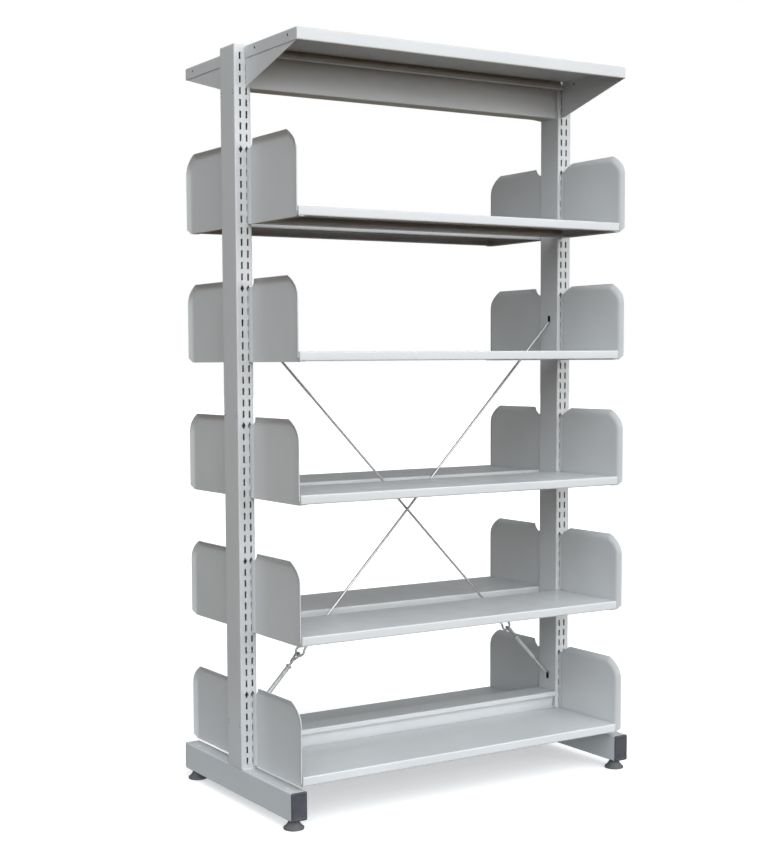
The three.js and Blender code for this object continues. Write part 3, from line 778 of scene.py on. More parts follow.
def side_slots(sizes):
    """Both sides, floor and top of each slot in a post's inner face, for the beams and the brace."""
    sheets = bpy.context.scene.shelving_sheets
    beside_web = (sheets.beam_width - sheets.beam_sheet) / 2 + sizes.beam_slot_shift
    half = sizes.slot_width / 2
    slots = []
    for beam in BEAMS:
        for floor in beam_slot_floors(beam):
            for y in (-beside_web, beside_web):
                slots.append((y - half, y + half, floor, floor + sizes.slot_height))
    across, up = sizes.brace_slot_width / 2, sizes.brace_slot_height / 2
    for z in (sizes.brace_low, sizes.brace_high):
        slots.append((-across, across, z - up, z + up))
    return slots


def post_levels(on_faces, on_side):
    """The heights at which a post's wall is cut into panels."""
    levels = {post_low.z, post_high.z}
    for low, high, diamond in on_faces:
        levels |= {low, high, (low + high) / 2} if diamond else {low, high}
    for _, _, low, high in on_side:
        levels |= {low, high}
    levels = sorted(levels)
    return [z for i, z in enumerate(levels) if i == 0 or z - levels[i - 1] > WELD]


def post_ring(half, corner, face_cuts, side_cuts):
    """The outline of a post from above, with a point at every edge of a slot."""
    x, y = half.x - corner, half.y - corner
    quarter, steps = math.pi / 2, 5
    ring = [(cut, -half.y) for cut in (-x, *face_cuts, x)]
    ring += arc((x, -y), corner, -quarter, 0, steps)[1:]
    ring += arc((x, y), corner, 0, quarter, steps)[:-1]
    ring += [(cut, half.y) for cut in (x, *reversed(face_cuts), -x)]
    ring += arc((-x, y), corner, quarter, 2 * quarter, steps)[1:]
    ring += [(-half.x, cut) for cut in reversed(side_cuts)]
    ring += arc((-x, -y), corner, 2 * quarter, 3 * quarter, steps)[:-1]
    return ring


def post_mesh(sizes):
    """A rolled tube about the origin, slotted and closed at the top; its inner face looks to -X."""
    half = (post_high - post_low) / 2
    slot = sizes.slot_width / 2
    column = -half.x + sizes.slot_inset
    columns = (column, column + sizes.slot_gap)
    on_faces, on_side = face_slots(sizes), side_slots(sizes)
    levels = post_levels(on_faces, on_side)
    face_cuts = [x + s * slot for x in columns for s in (-1, 1)]
    side_cuts = sorted({y for low, high, _, _ in on_side for y in (low, high)})
    ring = post_ring(half, sizes.corner, face_cuts, side_cuts)

    def widened(x, z):
        """X of a slot's edge, which stands farther out along a diamond."""
        for centre in columns:
            if abs(abs(x - centre) - slot) > TINY:
                continue
            for low, high, diamond in on_faces:
                if diamond and low - TINY <= z <= high + TINY:
                    near = 1 - abs(z - (low + high) / 2) / (sizes.slot_height / 2)
                    width = sizes.mark_tip + (sizes.mark_width - sizes.mark_tip) * near
                    return centre + math.copysign(width / 2, x - centre)
        return x

    def is_open(one, other, z):
        """True where a slot takes the place of the panel between two points of the ring."""
        x, y = (one[0] + other[0]) / 2, (one[1] + other[1]) / 2
        if abs(abs(y) - half.y) < TINY:
            return any(abs(x - c) < slot for c in columns) and any(a < z < b for a, b, _ in on_faces)
        if abs(x + half.x) < TINY:
            return any(a < y < b and low < z < high for a, b, low, high in on_side)
        return False

    bm = bmesh.new()
    rows = [[bm.verts.new((widened(x, z), y, z)) for x, y in ring] for z in levels]
    total = len(ring)
    for low, high, low_z, high_z in zip(rows, rows[1:], levels, levels[1:]):
        for i in range(total):
            j = (i + 1) % total
            if not is_open(ring[i], ring[j], (low_z + high_z) / 2):
                bm.faces.new((low[i], low[j], high[j], high[i]))
    bm.faces.new(rows[-1])
    bmesh.ops.delete(bm, geom=[v for v in bm.verts if not v.link_faces], context="VERTS")
    bmesh.ops.remove_doubles(bm, verts=bm.verts, dist=TINY)
    return shape("Post", bm, sheet=sizes.wall, offset=-1, edge=sizes.edge, edge_steps=1)


def slot_shade_cup(sizes, height):
    """A thin dark cup behind a brace slot, open towards the slot, with room for the rod's leg; it paints the
    shade seen through the slot.
    """
    depth, skin, corner, steps = 0.0072, 0.0007, 0.0015, 4
    side_room, end_room = 0.002, 0.024
    wall = post_low.x + sizes.wall
    near, far = wall + SEAT, wall + depth
    loops = []
    for x, more in ((far - skin, 0.0), (near, 0.0), (near, 2 * skin), (far, 2 * skin)):
        width, tall = sizes.brace_slot_width + side_room + more, sizes.brace_slot_height + end_room + more
        loops.append([(x, a, height + b) for a, b in rounded_rectangle(width, tall, corner, steps)])
    return loft(loops)


class SHELVING_OT_posts(Operator):
    """Make the two slotted posts, with a dark cup behind each brace slot that paints the shade there"""

    bl_idname = "shelving.posts"
    bl_label = "Posts"

    def execute(self, context):
        sizes = context.scene.shelving_posts
        mesh = post_mesh(sizes)
        # Painted shade: dark cups behind the brace slots, where the slots show the post's inside
        shade_cups = [slot_shade_cup(sizes, z) for z in (sizes.brace_low, sizes.brace_high)]
        painted_shades = shape("Slot_liners", joined(*shade_cups))
        for end in ENDS:
            matrix = end_turn(end) @ Matrix.Translation((post_middle.x, 0, 0))
            dress(f"post_{end}", mesh, "Powder coat", "frame", matrix)
            place(f"Slot_liners_{end}", painted_shades, "Painted shade", "frame", end_turn(end))
        return {"FINISHED"}


# Foot tubes, caps and levelling feet


def foot_tube_mesh(sizes):
    """A round-cornered tube along Y with a hole below for each stud, each cut from a square panel."""
    half = (tube_high - tube_low) / 2
    panel, sides = 0.009, 16
    corner, stud = sizes.corner, foot_middle.y
    flat_x, flat_z = half.x - corner, half.z - corner
    ring = [(-panel, -half.z), (panel, -half.z)]
    for quarter, (sx, sz) in enumerate(((1, -1), (1, 1), (-1, 1), (-1, -1))):
        start = (quarter - 1) * math.pi / 2
        ring += arc((sx * flat_x, sz * flat_z), corner, start, start + math.pi / 2, steps=5)
    stud_stretches = (1, 3)
    places = [-half.y, -stud - panel, -stud + panel, stud - panel, stud + panel, half.y]
    bm = bmesh.new()
    rows = [[bm.verts.new((tube_middle.x + x, y, tube_middle.z + z)) for x, z in ring] for y in places]
    total = len(ring)
    for k, (near, far) in enumerate(zip(rows, rows[1:])):
        for i in range(total):
            j = (i + 1) % total
            corners = (near[i], near[j], far[j], far[i])
            if i or k not in stud_stretches:
                bm.faces.new(corners)
                continue
            middle = (tube_middle.x, (places[k] + places[k + 1]) / 2)
            circle = arc(middle, sizes.stud_hole, 1.25 * math.pi, 3.25 * math.pi, sides)[:-1]
            rim = [bm.verts.new((*point, tube_low.z)) for point in circle]
            for q in range(4):
                bend = [rim[(q * sides // 4 + s) % sides] for s in range(sides // 4, -1, -1)]
                bm.faces.new((corners[q], corners[(q + 1) % 4], *bend))
    bmesh.ops.recalc_face_normals(bm, faces=bm.faces)
    return shape("Foot_tube", bm, sheet=sizes.wall, offset=-1, edge=sizes.edge)


def weld_bead(start, end, radius):
    """A low bead of weld along a straight seam, with its ripples."""
    steps, sides = 40, 10
    tip, run_in, ripple, ripple_turn = 0.35, 8, 0.10, 2.1
    start, end = Vector(start), Vector(end)
    along, up = end - start, Vector((0, 0, 1))
    across = along.normalized().cross(up)
    loops = []
    for i in range(steps + 1):
        k = i / steps
        full = min(1.0, run_in * k, run_in * (1 - k))
        swell = radius * (tip + (1 - tip) * full) * (1 + ripple * math.sin(i * ripple_turn))
        middle = start + along * k
        loops.append([middle + (across * math.cos(t) + up * math.sin(t)) * swell for t in turns(sides)])
    return loft(loops)


def plug_weld(radius, height):
    """A low domed weld standing on Z = 0."""
    sunk = -0.0004
    dome = [(radius * math.cos(t), height * math.sin(t)) for t in (0, 0.35, 0.7, 1.05, 1.35)]
    return lathe([(radius, sunk), *dome], sides=20)


class SHELVING_OT_foot_tubes(Operator):
    """Make the two foot tubes with the weld seams at the posts and the plug welds on top"""

    bl_idname = "shelving.foot_tubes"
    bl_label = "Foot Tubes"

    def execute(self, context):
        sizes = context.scene.shelving_fixings
        mesh = foot_tube_mesh(context.scene.shelving_feet)
        x, top = tube_middle.x, tube_high.z
        seam = (tube_high.x - tube_low.x) / 2 - sizes.weld_inset
        beads = []
        for y in (post_low.y - sizes.weld_gap, post_high.y + sizes.weld_gap):
            beads.append(weld_bead((x - seam, y, top), (x + seam, y, top), sizes.weld))
        for y in (-sizes.plug_far, -sizes.plug_near, sizes.plug_near, sizes.plug_far):
            beads.append(moved(plug_weld(sizes.plug_weld, sizes.plug_height), (x + sizes.plug_shift, y, top)))
        welds = shape("Welds", joined(*beads))
        for end in ENDS:
            turn = end_turn(end)
            dress(f"foot_tube_{end}", mesh, "Powder coat", "frame", turn)
            place(f"Foot_welds_{end}", welds, "Powder coat", "frame", turn)
        return {"FINISHED"}


def end_cap_mesh(sizes):
    """A moulded cap over a tube's end: rounded flange, shallow panel and gate mark, with its plug inside."""
    width, height = tube_high.x - tube_low.x, tube_high.z - tube_low.z
    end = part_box("end_cap_back_right")[1].y
    seat = tube_high.y + SEAT
    corner, plug_corner, panel_depth = 0.003, 0.0012, 0.0010
    # Inset from the tube's outside, place along Y and corner radius of each ring
    rings = (
        (sizes.plug_inset, seat - sizes.plug_length, plug_corner),
        (sizes.plug_inset, seat, plug_corner),
        (0.0, seat, corner),
        (0.0, end - 0.0020, corner),
        (0.0003, end - 0.0011, corner),
        (0.0009, end - 0.0004, corner),
        (0.0019, end, corner),
        (0.0042, end, corner),
        (0.0047, end - 0.0002, corner),
        (0.0052, end - 0.0008, corner),
        (0.0060, end - panel_depth, corner),
    )
    loops = []
    for inset, y, radius in rings:
        outline = rounded_rectangle(width - 2 * inset, height - 2 * inset, radius, steps=6)
        loops.append([(tube_middle.x + a, y, tube_middle.z + b) for a, b in outline])
    mark = [(0.0068, -0.0006), (0.0066, 0.0002), (0.0058, 0.0004), (0.0052, 0.0001), (CORE, 0.0001)]
    gate = turned(lathe(mark, sides=28), -math.pi / 2, "X")
    moved(gate, (tube_middle.x, end - panel_depth, tube_middle.z))
    return shape("End_cap", joined(loft(loops), gate))


class SHELVING_OT_end_caps(Operator):
    """Make the plastic caps in the ends of the foot tubes"""

    bl_idname = "shelving.end_caps"
    bl_label = "End Caps"

    def execute(self, context):
        mesh = end_cap_mesh(context.scene.shelving_feet)
        for side, end in QUARTERS:
            shift = 0.0 if is_as_made(side, end) else -2 * tube_middle.x
            matrix = side_turn(side) @ Matrix.Translation((shift, 0, 0))
            dress(f"end_cap_{side}_{end}", mesh, "Black plastic", "frame", matrix)
        return {"FINISHED"}


def foot_pad_mesh():
    """A moulded glide with a rounded rim that rises in a cone to the collar round its stud."""
    r = (foot_high.y - foot_low.y) / 2
    sole = [(CORE, 0.0), (r - 0.0022, 0.0), (r - 0.0007, 0.0005)]
    rim = [(r, 0.0017), (r, 0.0040), (r - 0.0005, 0.0050), (r - 0.0020, 0.0057), (r - 0.0043, 0.0068)]
    cone = [(0.0172, 0.0092), (0.0148, 0.0118), (0.0133, 0.0142)]
    collar = [(0.0126, 0.0160), (0.0122, 0.0167), (0.0114, 0.0170), (CORE, 0.0170)]
    return shape("Foot_pad", lathe([*sole, *rim, *cone, *collar], sides=40))


class SHELVING_OT_levelling_feet(Operator):
    """Make the four levelling feet: plastic glides on threaded studs"""

    bl_idname = "shelving.levelling_feet"
    bl_label = "Levelling Feet"

    def execute(self, context):
        sizes = context.scene.shelving_feet
        pad = foot_pad_mesh()
        screw = thread(sizes.stud, sizes.thread_depth, sizes.thread_pitch, sizes.stud_start, foot_high.z)
        stud = shape("Foot_stud", screw)
        x, y = foot_middle.x, foot_middle.y
        for side, end in QUARTERS:
            at = Matrix.Translation((x if end == "right" else -x, y if side == "back" else -y, 0))
            body = f"foot_{side}_{end}"
            node = f"levelling_foot_{side}_{end}"
            place(f"Foot_pad_{side}_{end}", pad, "Glide plastic", body, at, [node])
            place(f"Foot_stud_{side}_{end}", stud, "Zinc plate", body, at)
        return {"FINISHED"}


# Folded sheets


def lip_panel(half, inner, y, top, low):
    """A lip across a sheet, with points on its lower edge where a return starts and ends."""
    lower_edge = [(x, y, low) for x in (half, inner, -inner, -half)]
    return [(-half, y, top), (half, y, top), *lower_edge]


def end_panels(half, rear, front, top, low):
    """The two lips at the ends of a sheet."""
    return [[(x, rear, top), (x, front, top), (x, front, low), (x, rear, low)] for x in (-half, half)]


def tray_mesh(sizes):
    """A tray like a box lid: lips on all sides, a return in front, a gutter behind; its top is Z = 0."""
    t = sizes.tray_sheet / 2
    x = tray_high.x - t
    rear, front = tray_low.y + t, tray_high.y - t
    top, low = -t, t - (tray_high.z - tray_low.z)
    inner = x - sizes.relief
    back, hem = rear + sizes.gutter, low + sizes.hem
    faces = [
        strip(x, (rear, top), (front, top)),
        lip_panel(x, inner, front, top, low),
        strip(inner, (front, low), (front - sizes.tray_return, low)),
        lip_panel(x, inner, rear, top, low),
        strip(inner, (rear, low), (back, low)),
        strip(inner, (back, low), (back, hem)),
        *end_panels(x, rear, front, top, low),
    ]
    return shape("Tray", fold(panels(faces), sizes.bend), sheet=2 * t, edge=sizes.edge)


class SHELVING_OT_trays(Operator):
    """Make the shelf trays"""

    bl_idname = "shelving.trays"
    bl_label = "Trays"

    def execute(self, context):
        mesh = tray_mesh(context.scene.shelving_sheets)
        for side in SIDES:
            for level in LEVELS:
                body = f"shelf_{side}_{level}"
                dress(f"tray_{side}_{level}", mesh, "Powder coat", body, on_shelf(side, level))
        return {"FINISHED"}


def canopy_mesh(sizes):
    """A canopy like a wide box lid: deep aprons in front and at the ends, a lip with a gutter behind."""
    t = sizes.tray_sheet / 2
    x = canopy_high.x - t
    rear, front = canopy_low.y + t, canopy_high.y - t
    top, low = canopy_high.z - t, canopy_low.z + t
    inner, lip = x - sizes.relief, gusset_low.x - sizes.lip_inset
    floor = canopy_high.z - sizes.canopy_lip + t
    back, hem = rear + sizes.gutter, floor + sizes.hem
    rear_edge = [(-x, rear, top), (-lip, rear, top), (lip, rear, top), (x, rear, top)]
    faces = [
        [*rear_edge, (x, front, top), (-x, front, top)],
        lip_panel(x, inner, front, top, low),
        strip(inner, (front, low), (front - sizes.canopy_return, low)),
        strip(lip, (rear, top), (rear, floor)),
        strip(lip, (rear, floor), (back, floor)),
        strip(lip, (back, floor), (back, hem)),
        *end_panels(x, rear, front, top, low),
    ]
    return shape("Canopy", fold(panels(faces), sizes.bend), sheet=2 * t, edge=sizes.edge)


def hollow_rivet(bore):
    """A rolled rim and, in it, a dark disc of painted shade for its hole, standing out along +X."""
    sunk, sides = -0.0003, 16
    rolled = [(bore + 0.0010, sunk), (bore + 0.0009, 0.0003), (bore + 0.0003, 0.0004), (bore, 0.0001)]
    rim = lathe([(bore, sunk), *rolled, (bore, sunk)], sides)
    hole = lathe([(bore + 0.0001, sunk), (bore + 0.0001, 0.0001), (CORE, 0.0001)], sides)
    return [turned(bm, math.pi / 2, "Y") for bm in (rim, hole)]


def rivet_meshes(name, hole_name, bore, outward, inward=()):
    """The rims of rivets, and the dark discs that paint the shade in their holes, standing out at some points
    and mirrored at others.
    """
    rims, holes = [], []
    for point in (*outward, *inward):
        for bm, group in zip(hollow_rivet(bore), (rims, holes)):
            group.append(moved(mirrored(bm) if point in inward else bm, point))
    return shape(name, joined(*rims)), shape(hole_name, joined(*holes))


class SHELVING_OT_canopies(Operator):
    """Make the canopy tops and the rivets in their end aprons"""

    bl_idname = "shelving.canopies"
    bl_label = "Canopies"

    def execute(self, context):
        sheets, sizes = context.scene.shelving_sheets, context.scene.shelving_fixings
        mesh = canopy_mesh(sheets)
        outer, inner = (canopy_high.x, 0, 0), (gusset_faces(sheets)[0], 0, 0)
        rim, hole = rivet_meshes("Canopy_rivet", "Canopy_rivet_hole", sizes.canopy_rivet, [outer], [inner])
        height = canopy_high.z - sizes.canopy_drop
        for side in SIDES:
            body = f"canopy_top_{side}"
            dress(f"canopy_{side}", mesh, "Powder coat", body, side_turn(side))
            for end in ENDS:
                for number, y in enumerate((sizes.canopy_rear, sizes.canopy_front), 1):
                    step = Matrix.Translation((0, y if is_as_made(side, end) else -y, height))
                    at = end_turn(end) @ step
                    name = f"{side}_{end}_{number}"
                    place(f"Canopy_rivet_{name}", rim, "Zinc plate", body, at)
                    # A dark disc in each rivet paints the shade inside its hole
                    place(f"Canopy_rivet_hole_{name}", hole, "Painted shade", body, at)
        return {"FINISHED"}


def hook_outline(near, back, floor, sizes):
    """Outline of a hook that reaches through a wall and drops behind it, from the slot's floor upwards."""
    far = back - sizes.hook_depth
    low, high = floor - sizes.hook_drop, floor + sizes.hook_root
    return [(near, floor), (back, floor), (back, low), (far, low), (far, high), (near, high)]


def gusset_faces(sizes):
    """Inner and outer face of a gusset, which lies against the canopy's end apron."""
    outer = canopy_high.x - sizes.tray_sheet - SEAT
    return outer - sizes.gusset_sheet, outer


def gusset_mesh(handed):
    """A triangular plate hooked into a post under a canopy."""
    scene = bpy.context.scene
    sizes, posts = scene.shelving_sheets, scene.shelving_posts
    near, back = post_high.y + GAP, post_high.y - posts.wall - GAP
    low, top, tip = gusset_low.z, gusset_high.z, gusset_high.y
    outline = [(near + sizes.gusset_land, low), (tip, canopy_low.z + GAP), (tip, top), (near, top)]
    # The hooks hold in the highest slot and in the third from the top
    for slot in (-1, -3):
        outline += reversed(hook_outline(near, back, slot_floor(slot), scene.shelving_brackets))
    outline += [(near, low)]
    bm = prism(outline, *gusset_faces(sizes), lambda y, z, x: (x, y, z))
    return shape("Gusset", bm if handed else mirrored(bm), edge=posts.edge)


class SHELVING_OT_gussets(Operator):
    """Make the gussets that carry the canopies"""

    bl_idname = "shelving.gussets"
    bl_label = "Gussets"

    def execute(self, context):
        meshes = {handed: gusset_mesh(handed) for handed in (True, False)}
        for side, end in QUARTERS:
            mesh = meshes[is_as_made(side, end)]
            dress(f"gusset_{side}_{end}", mesh, "Powder coat", f"canopy_top_{side}", side_turn(side))
        return {"FINISHED"}


def beam_mesh(node):
    """A folded box under a wide flange with turned-down lips."""
    sizes = bpy.context.scene.shelving_sheets
    low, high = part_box(node)
    sheet = sizes.beam_sheet
    x, web, flange = post_low.x, sizes.beam_width / 2 - sheet / 2, high.y - sheet / 2
    floor, roof, top = low.z + sheet / 2, high.z - 1.5 * sheet, high.z - sheet / 2
    lip = high.z - sizes.beam_lip
    loop = [(-web, floor), (web, floor), (web, roof), (-web, roof)]
    box = [strip(x, loop[i - 1], loop[i]) for i in range(4)]
    run = [(-flange, lip), (-flange, top), (flange, top), (flange, lip)]
    cover = [strip(x, a, b) for a, b in zip(run, run[1:])]
    sheets = joined(fold(panels(box), sizes.bend), fold(panels(cover), sizes.bend))
    return shape(node.capitalize(), sheets, sheet=sheet, edge=sizes.edge)


def beam_hooks_mesh(node):
    """The hooks at both ends of a beam, cut from its webs."""
    scene = bpy.context.scene
    sizes = scene.shelving_sheets
    x, half = post_low.x, sizes.beam_sheet / 2
    web = sizes.beam_width / 2 - half
    overlap, behind = 0.0015, scene.shelving_posts.wall + GAP
    prisms = []
    for floor in beam_slot_floors(node):
        hook = hook_outline(x + overlap, x - behind, floor, scene.shelving_brackets)
        for side in (-1, 1):
            outline = [(side * (2 * x - a), b) for a, b in hook]
            for y in (-web, web):
                prisms.append(prism(outline, y - half, y + half, lambda a, b, c: (a, c, b)))
    return shape(node.capitalize() + "_hooks", joined(*prisms))


class SHELVING_OT_beams(Operator):
    """Make the beams between the posts"""

    bl_idname = "shelving.beams"
    bl_label = "Beams"

    def execute(self, context):
        for node in BEAMS:
            dress(node, beam_mesh(node), "Powder coat", "frame")
            place(node.capitalize() + "_hooks", beam_hooks_mesh(node), "Powder coat", "frame")
        return {"FINISHED"}


# Brackets


def flare_rise(reach, sizes):
    """How far the flared rim stands out at a distance from its root."""
    r, slope = sizes.flare_radius, sizes.flare_angle
    bend = r * math.sin(slope)
    if reach <= bend:
        return r - math.sqrt(r * r - reach * reach)
    return r * (1 - math.cos(slope)) + (reach - bend) * math.tan(slope)


def bracket_rim(sizes, front, rear, bottom):
    """The free edge from its lower front corner, up, round two arcs and back along the top."""
    high_z = sizes.rise - sizes.top_arc * math.cos(sizes.arc_end)
    step = sizes.top_arc - sizes.front_arc
    join = sizes.arc_join
    low_centre = (front - sizes.front_arc, high_z + step * math.sin(join))
    high_centre = (low_centre[0] - step * math.cos(join), high_z)
    low = arc(low_centre, sizes.front_arc, 0, join, steps=9)
    high = arc(high_centre, sizes.top_arc, join, math.pi / 2 - sizes.arc_end, steps=6)
    foot, head, stop = bottom + sizes.chamfer, low[0][1], high[-1][0]
    up, along = 4, 6
    start = [(front, foot + (head - foot) * k / up) for k in range(up)]
    back = [(stop + (rear - stop) * k / along, sizes.rise) for k in range(1, along + 1)]
    return [*start, *low, *high[1:], *back]


def flare_rows(sizes, plate, end, bottom):
    """Rows of points over the flared rim, from its root on the flat plate to its free edge."""
    rim = bracket_rim(sizes, bracket_high.y, end + sizes.notch, bottom)
    bend = sizes.flare_radius * math.sin(sizes.flare_angle)
    bent, straight = 6, 3
    reaches = [sizes.flare_radius * math.sin(sizes.flare_angle * k / bent) for k in range(bent + 1)]
    reaches += [bend + (sizes.flare - bend) * k / straight for k in range(1, straight + 1)]
    rows = []
    for reach in reaches:
        row = offset_path(rim, sizes.flare - reach)
        row[0].y = bottom + max(0.0, sizes.chamfer - (sizes.flare - reach))
        row[-1].x = end + sizes.notch * reach / sizes.flare
        rows.append([(plate + flare_rise(reach, sizes), y, z) for y, z in row])
    return rows


def bracket_mesh(handed):
    """A pressed sheet: plate, flared rim, step beside the post, hooks and ledge; Z = 0 at the tray's top."""
    sizes, posts = bpy.context.scene.shelving_brackets, bpy.context.scene.shelving_posts
    plate = bracket_low.x + sizes.ledge + sizes.sheet / 2
    bottom = -sizes.lip - sizes.sheet
    face, back = post_high.y + GAP, post_high.y - posts.wall - GAP
    start = post_high.y + sizes.joggle_inset
    end = start + sizes.joggle_run
    rows = flare_rows(sizes, plate, end, bottom)
    faces = []
    for inner, outer in zip(rows, rows[1:]):
        for i in range(len(inner) - 1):
            faces.append([inner[i], outer[i], outer[i + 1], inner[i + 1]])

    root = rows[0]
    near, far = end + sizes.relief, root[0][1] - sizes.relief
    shelf, fore = bottom + sizes.sheet / 2, tray_high.y - sizes.ledge_inset
    below = [(end, bottom), (near, bottom), (near, shelf), (far, shelf), (far, bottom)]
    faces.append([*((plate, y, z) for y, z in below), *root])
    inward, tab = bracket_low.x, plate - sizes.relief
    ledge = [(plate, near), (plate, far), (tab, far + sizes.relief)]
    ledge += [(tab, fore), (inward, fore), (inward, near)]
    faces.append([(x, y, shelf) for x, y in ledge])

    def strap_top(y):
        """Height of the strap's top edge, which falls towards the post."""
        return root[-1][2] - sizes.strap_fall * (end - y) / (end - face)

    steps = 8
    wave = []
    for k in range(steps + 1):
        share = k / steps
        step_out = sizes.joggle * (1 + math.cos(math.pi * share)) / 2
        wave.append((plate + step_out, start + (end - start) * share))
    for (x0, y0), (x1, y1) in zip(wave, wave[1:]):
        faces.append([(x0, y0, bottom), (x1, y1, bottom), (x1, y1, strap_top(y1)), (x0, y0, strap_top(y0))])
    outline = [(start, bottom), (start, strap_top(start)), (face, strap_top(face))]
    for slots_below in (1, 2, 4, 5):
        floor = sizes.tray_below_mark - posts.slot_pitch * slots_below - posts.slot_height / 2
        outline += reversed(hook_outline(face, back, floor, sizes))
    outline += [(face, bottom)]
    faces.append([(plate + sizes.joggle, y, z) for y, z in outline])
    bm = fold(panels(faces), sizes.bend, least=1.2)
    return shape("Bracket", bm if handed else mirrored(bm), sheet=sizes.sheet, edge=sizes.edge)


class SHELVING_OT_brackets(Operator):
    """Make the flared brackets at the ends of the trays"""

    bl_idname = "shelving.brackets"
    bl_label = "Brackets"

    def execute(self, context):
        meshes = {handed: bracket_mesh(handed) for handed in (True, False)}
        for side, end in QUARTERS:
            mesh = meshes[is_as_made(side, end)]
            for level in LEVELS:
                node, body = f"bracket_{side}_{end}_{level}", f"shelf_{side}_{level}"
                dress(node, mesh, "Powder coat", body, on_shelf(side, level))
        return {"FINISHED"}


# Cross brace


def tie_ends():
    """The lower right and upper left corners of one tie, where its rods turn into the posts' slots."""
    posts, sizes = bpy.context.scene.shelving_posts, bpy.context.scene.shelving_brace
    reach = post_low.x - sizes.bend
    inset = posts.brace_slot_height / 2 - sizes.rod - sizes.gap
    return Vector((reach, 0, posts.brace_low + inset)), Vector((-reach, 0, posts.brace_high - inset))


def on_tie():
    """The matrix that lays a piece made along Z on the tie, with Z = 0 at its lower hook."""
    lower, upper = tie_ends()
    return Matrix.Translation(lower) @ (upper - lower).to_track_quat("Z", "Y").to_matrix().to_4x4()


def eye_path(shank, centre, radius, rod, across):
    """A rod that bends into an eye and back to its shank; across is the direction of the eye's width."""
    heading = 1 if shank > centre else -1
    first, last = math.radians(50), math.radians(318)
    neck_reach, bend_reach = radius + 2.4 * rod, 1.3 * rod
    circle = [(centre + heading * a, b) for a, b in arc((0, 0), radius, first, last, steps=22)]
    neck = (centre + heading * neck_reach, 0.0)
    push = (neck[0] - heading * bend_reach, 0.0)
    pull = (
        circle[0][0] + heading * math.sin(first) * bend_reach,
        circle[0][1] - math.cos(first) * bend_reach,
    )
    curve = interpolate_bezier(neck, push, pull, circle[0], 7)[1:-1]
    tail = [
        (centre + heading * 1.25 * radius, -2.4 * rod),
        (centre + heading * (radius + 4 * rod), -2.05 * rod),
    ]
    flat = [(shank, 0.0), neck, *curve, *circle, *tail]
    return [Vector(across) * b + Vector((0, 0, a)) for a, b in flat]


def hooked_end(side, sizes):
    """Corner points of a rod's end: leg behind the wall, run through the slot, turn to the tie."""
    lower, upper = tie_ends()
    anchor = lower if side > 0 else upper
    wall = bpy.context.scene.shelving_posts.wall
    corner = Vector((side * (post_low.x + wall + sizes.gap + sizes.rod), 0, anchor.z))
    return [corner + Vector((0, 0, side * sizes.leg)), corner, anchor]


def lock_nut_mesh(sizes, low):
    """A six-sided nut with chamfered ends."""
    high = low + sizes.nut_length
    r, bore = sizes.nut, sizes.rod + sizes.gap
    end = 0.96 * r * math.cos(math.pi / 6)
    rise = [(bore, low), (end, low), (r, low + sizes.chamfer)]
    fall = [(r, high - sizes.chamfer), (end, high), (bore, high), (bore, low)]
    return lathe([*rise, *fall], sides=6)


def sleeve_mesh(sizes, low, high):
    """A round sleeve with chamfered ends and countersunk bores."""
    r, bore, cut = sizes.sleeve, sizes.rod + sizes.gap, sizes.chamfer
    sink_depth, sink_width = 0.0008, 0.0006
    start = (bore, low + sink_depth)
    rise = [start, (bore + sink_width, low), (r - cut, low), (r, low + cut)]
    fall = [(r, high - cut), (r - cut, high), (bore + sink_width, high), (bore, high - sink_depth), start]
    return lathe([*rise, *fall], sides=24)


def brace_meshes(sizes):
    """The meshes of one tie by the names of its CAD nodes."""
    lower, upper = tie_ends()
    to_tie = on_tie().inverted()
    span = (upper - lower).length
    width = to_tie.to_3x3() @ Vector((0, 1, 0))
    side = width.cross(Vector((0, 0, 1)))
    reach = sizes.rod + sizes.gap / 2
    rod_eye, bolt_eye = sizes.eye_place + sizes.loop - reach, sizes.eye_place - sizes.eye + reach
    sleeve_end = sizes.sleeve_start + sizes.sleeve_length
    smooth = sleeve_end + sizes.nut_length + sizes.thread_run
    overlap, bend_stop, loop_start = 0.001, 0.5 * span, 0.48 * span
    ends = {}
    for name, end, stop in (("upper", -1, bend_stop), ("lower", 1, sizes.sleeve_start + sizes.grip)):
        corners = [to_tie @ point for point in hooked_end(end, sizes)]
        ends[name] = rounded_path([*corners, Vector((0, 0, stop))], sizes.bend)
    loop = eye_path(loop_start, rod_eye, sizes.loop, sizes.rod, side)
    eye = eye_path(smooth, bolt_eye, sizes.eye, sizes.rod, width)
    grooves = (sizes.rod, sizes.thread_depth, sizes.thread_pitch)
    shank = thread(*grooves, sleeve_end - sizes.grip, smooth + overlap)
    meshes = {
        "tie_rod": tube([*ends["upper"], *loop], sizes.rod),
        "eye_bolt": joined(tube(eye, sizes.rod), shank),
        "lock_nut": lock_nut_mesh(sizes, sleeve_end + sizes.gap),
        "tension_sleeve": sleeve_mesh(sizes, sizes.sleeve_start, sleeve_end),
        "hook_end": tube(ends["lower"], sizes.rod),
    }
    return {name: shape(name.capitalize(), bm) for name, bm in meshes.items()}


class SHELVING_OT_cross_brace(Operator):
    """Make the two ties of the cross brace with their eyes, tension sleeves and lock nuts"""

    bl_idname = "shelving.cross_brace"
    bl_label = "Cross Brace"

    def execute(self, context):
        sizes = context.scene.shelving_brace
        meshes = brace_meshes(sizes)
        for tie in TIES:
            turn = side_turn("back" if tie == "a" else "front")
            matrix = turn @ Matrix.Translation((0, sizes.offset, 0)) @ on_tie()
            for name, mesh in meshes.items():
                body = f"sleeve_{tie}" if name == "tension_sleeve" else "frame"
                finish = "Drawn rod" if name == "tie_rod" else "Zinc plate"
                dress(f"{name}_{tie}", mesh, finish, body, matrix)
        return {"FINISHED"}


# Rivets in the posts' outer faces


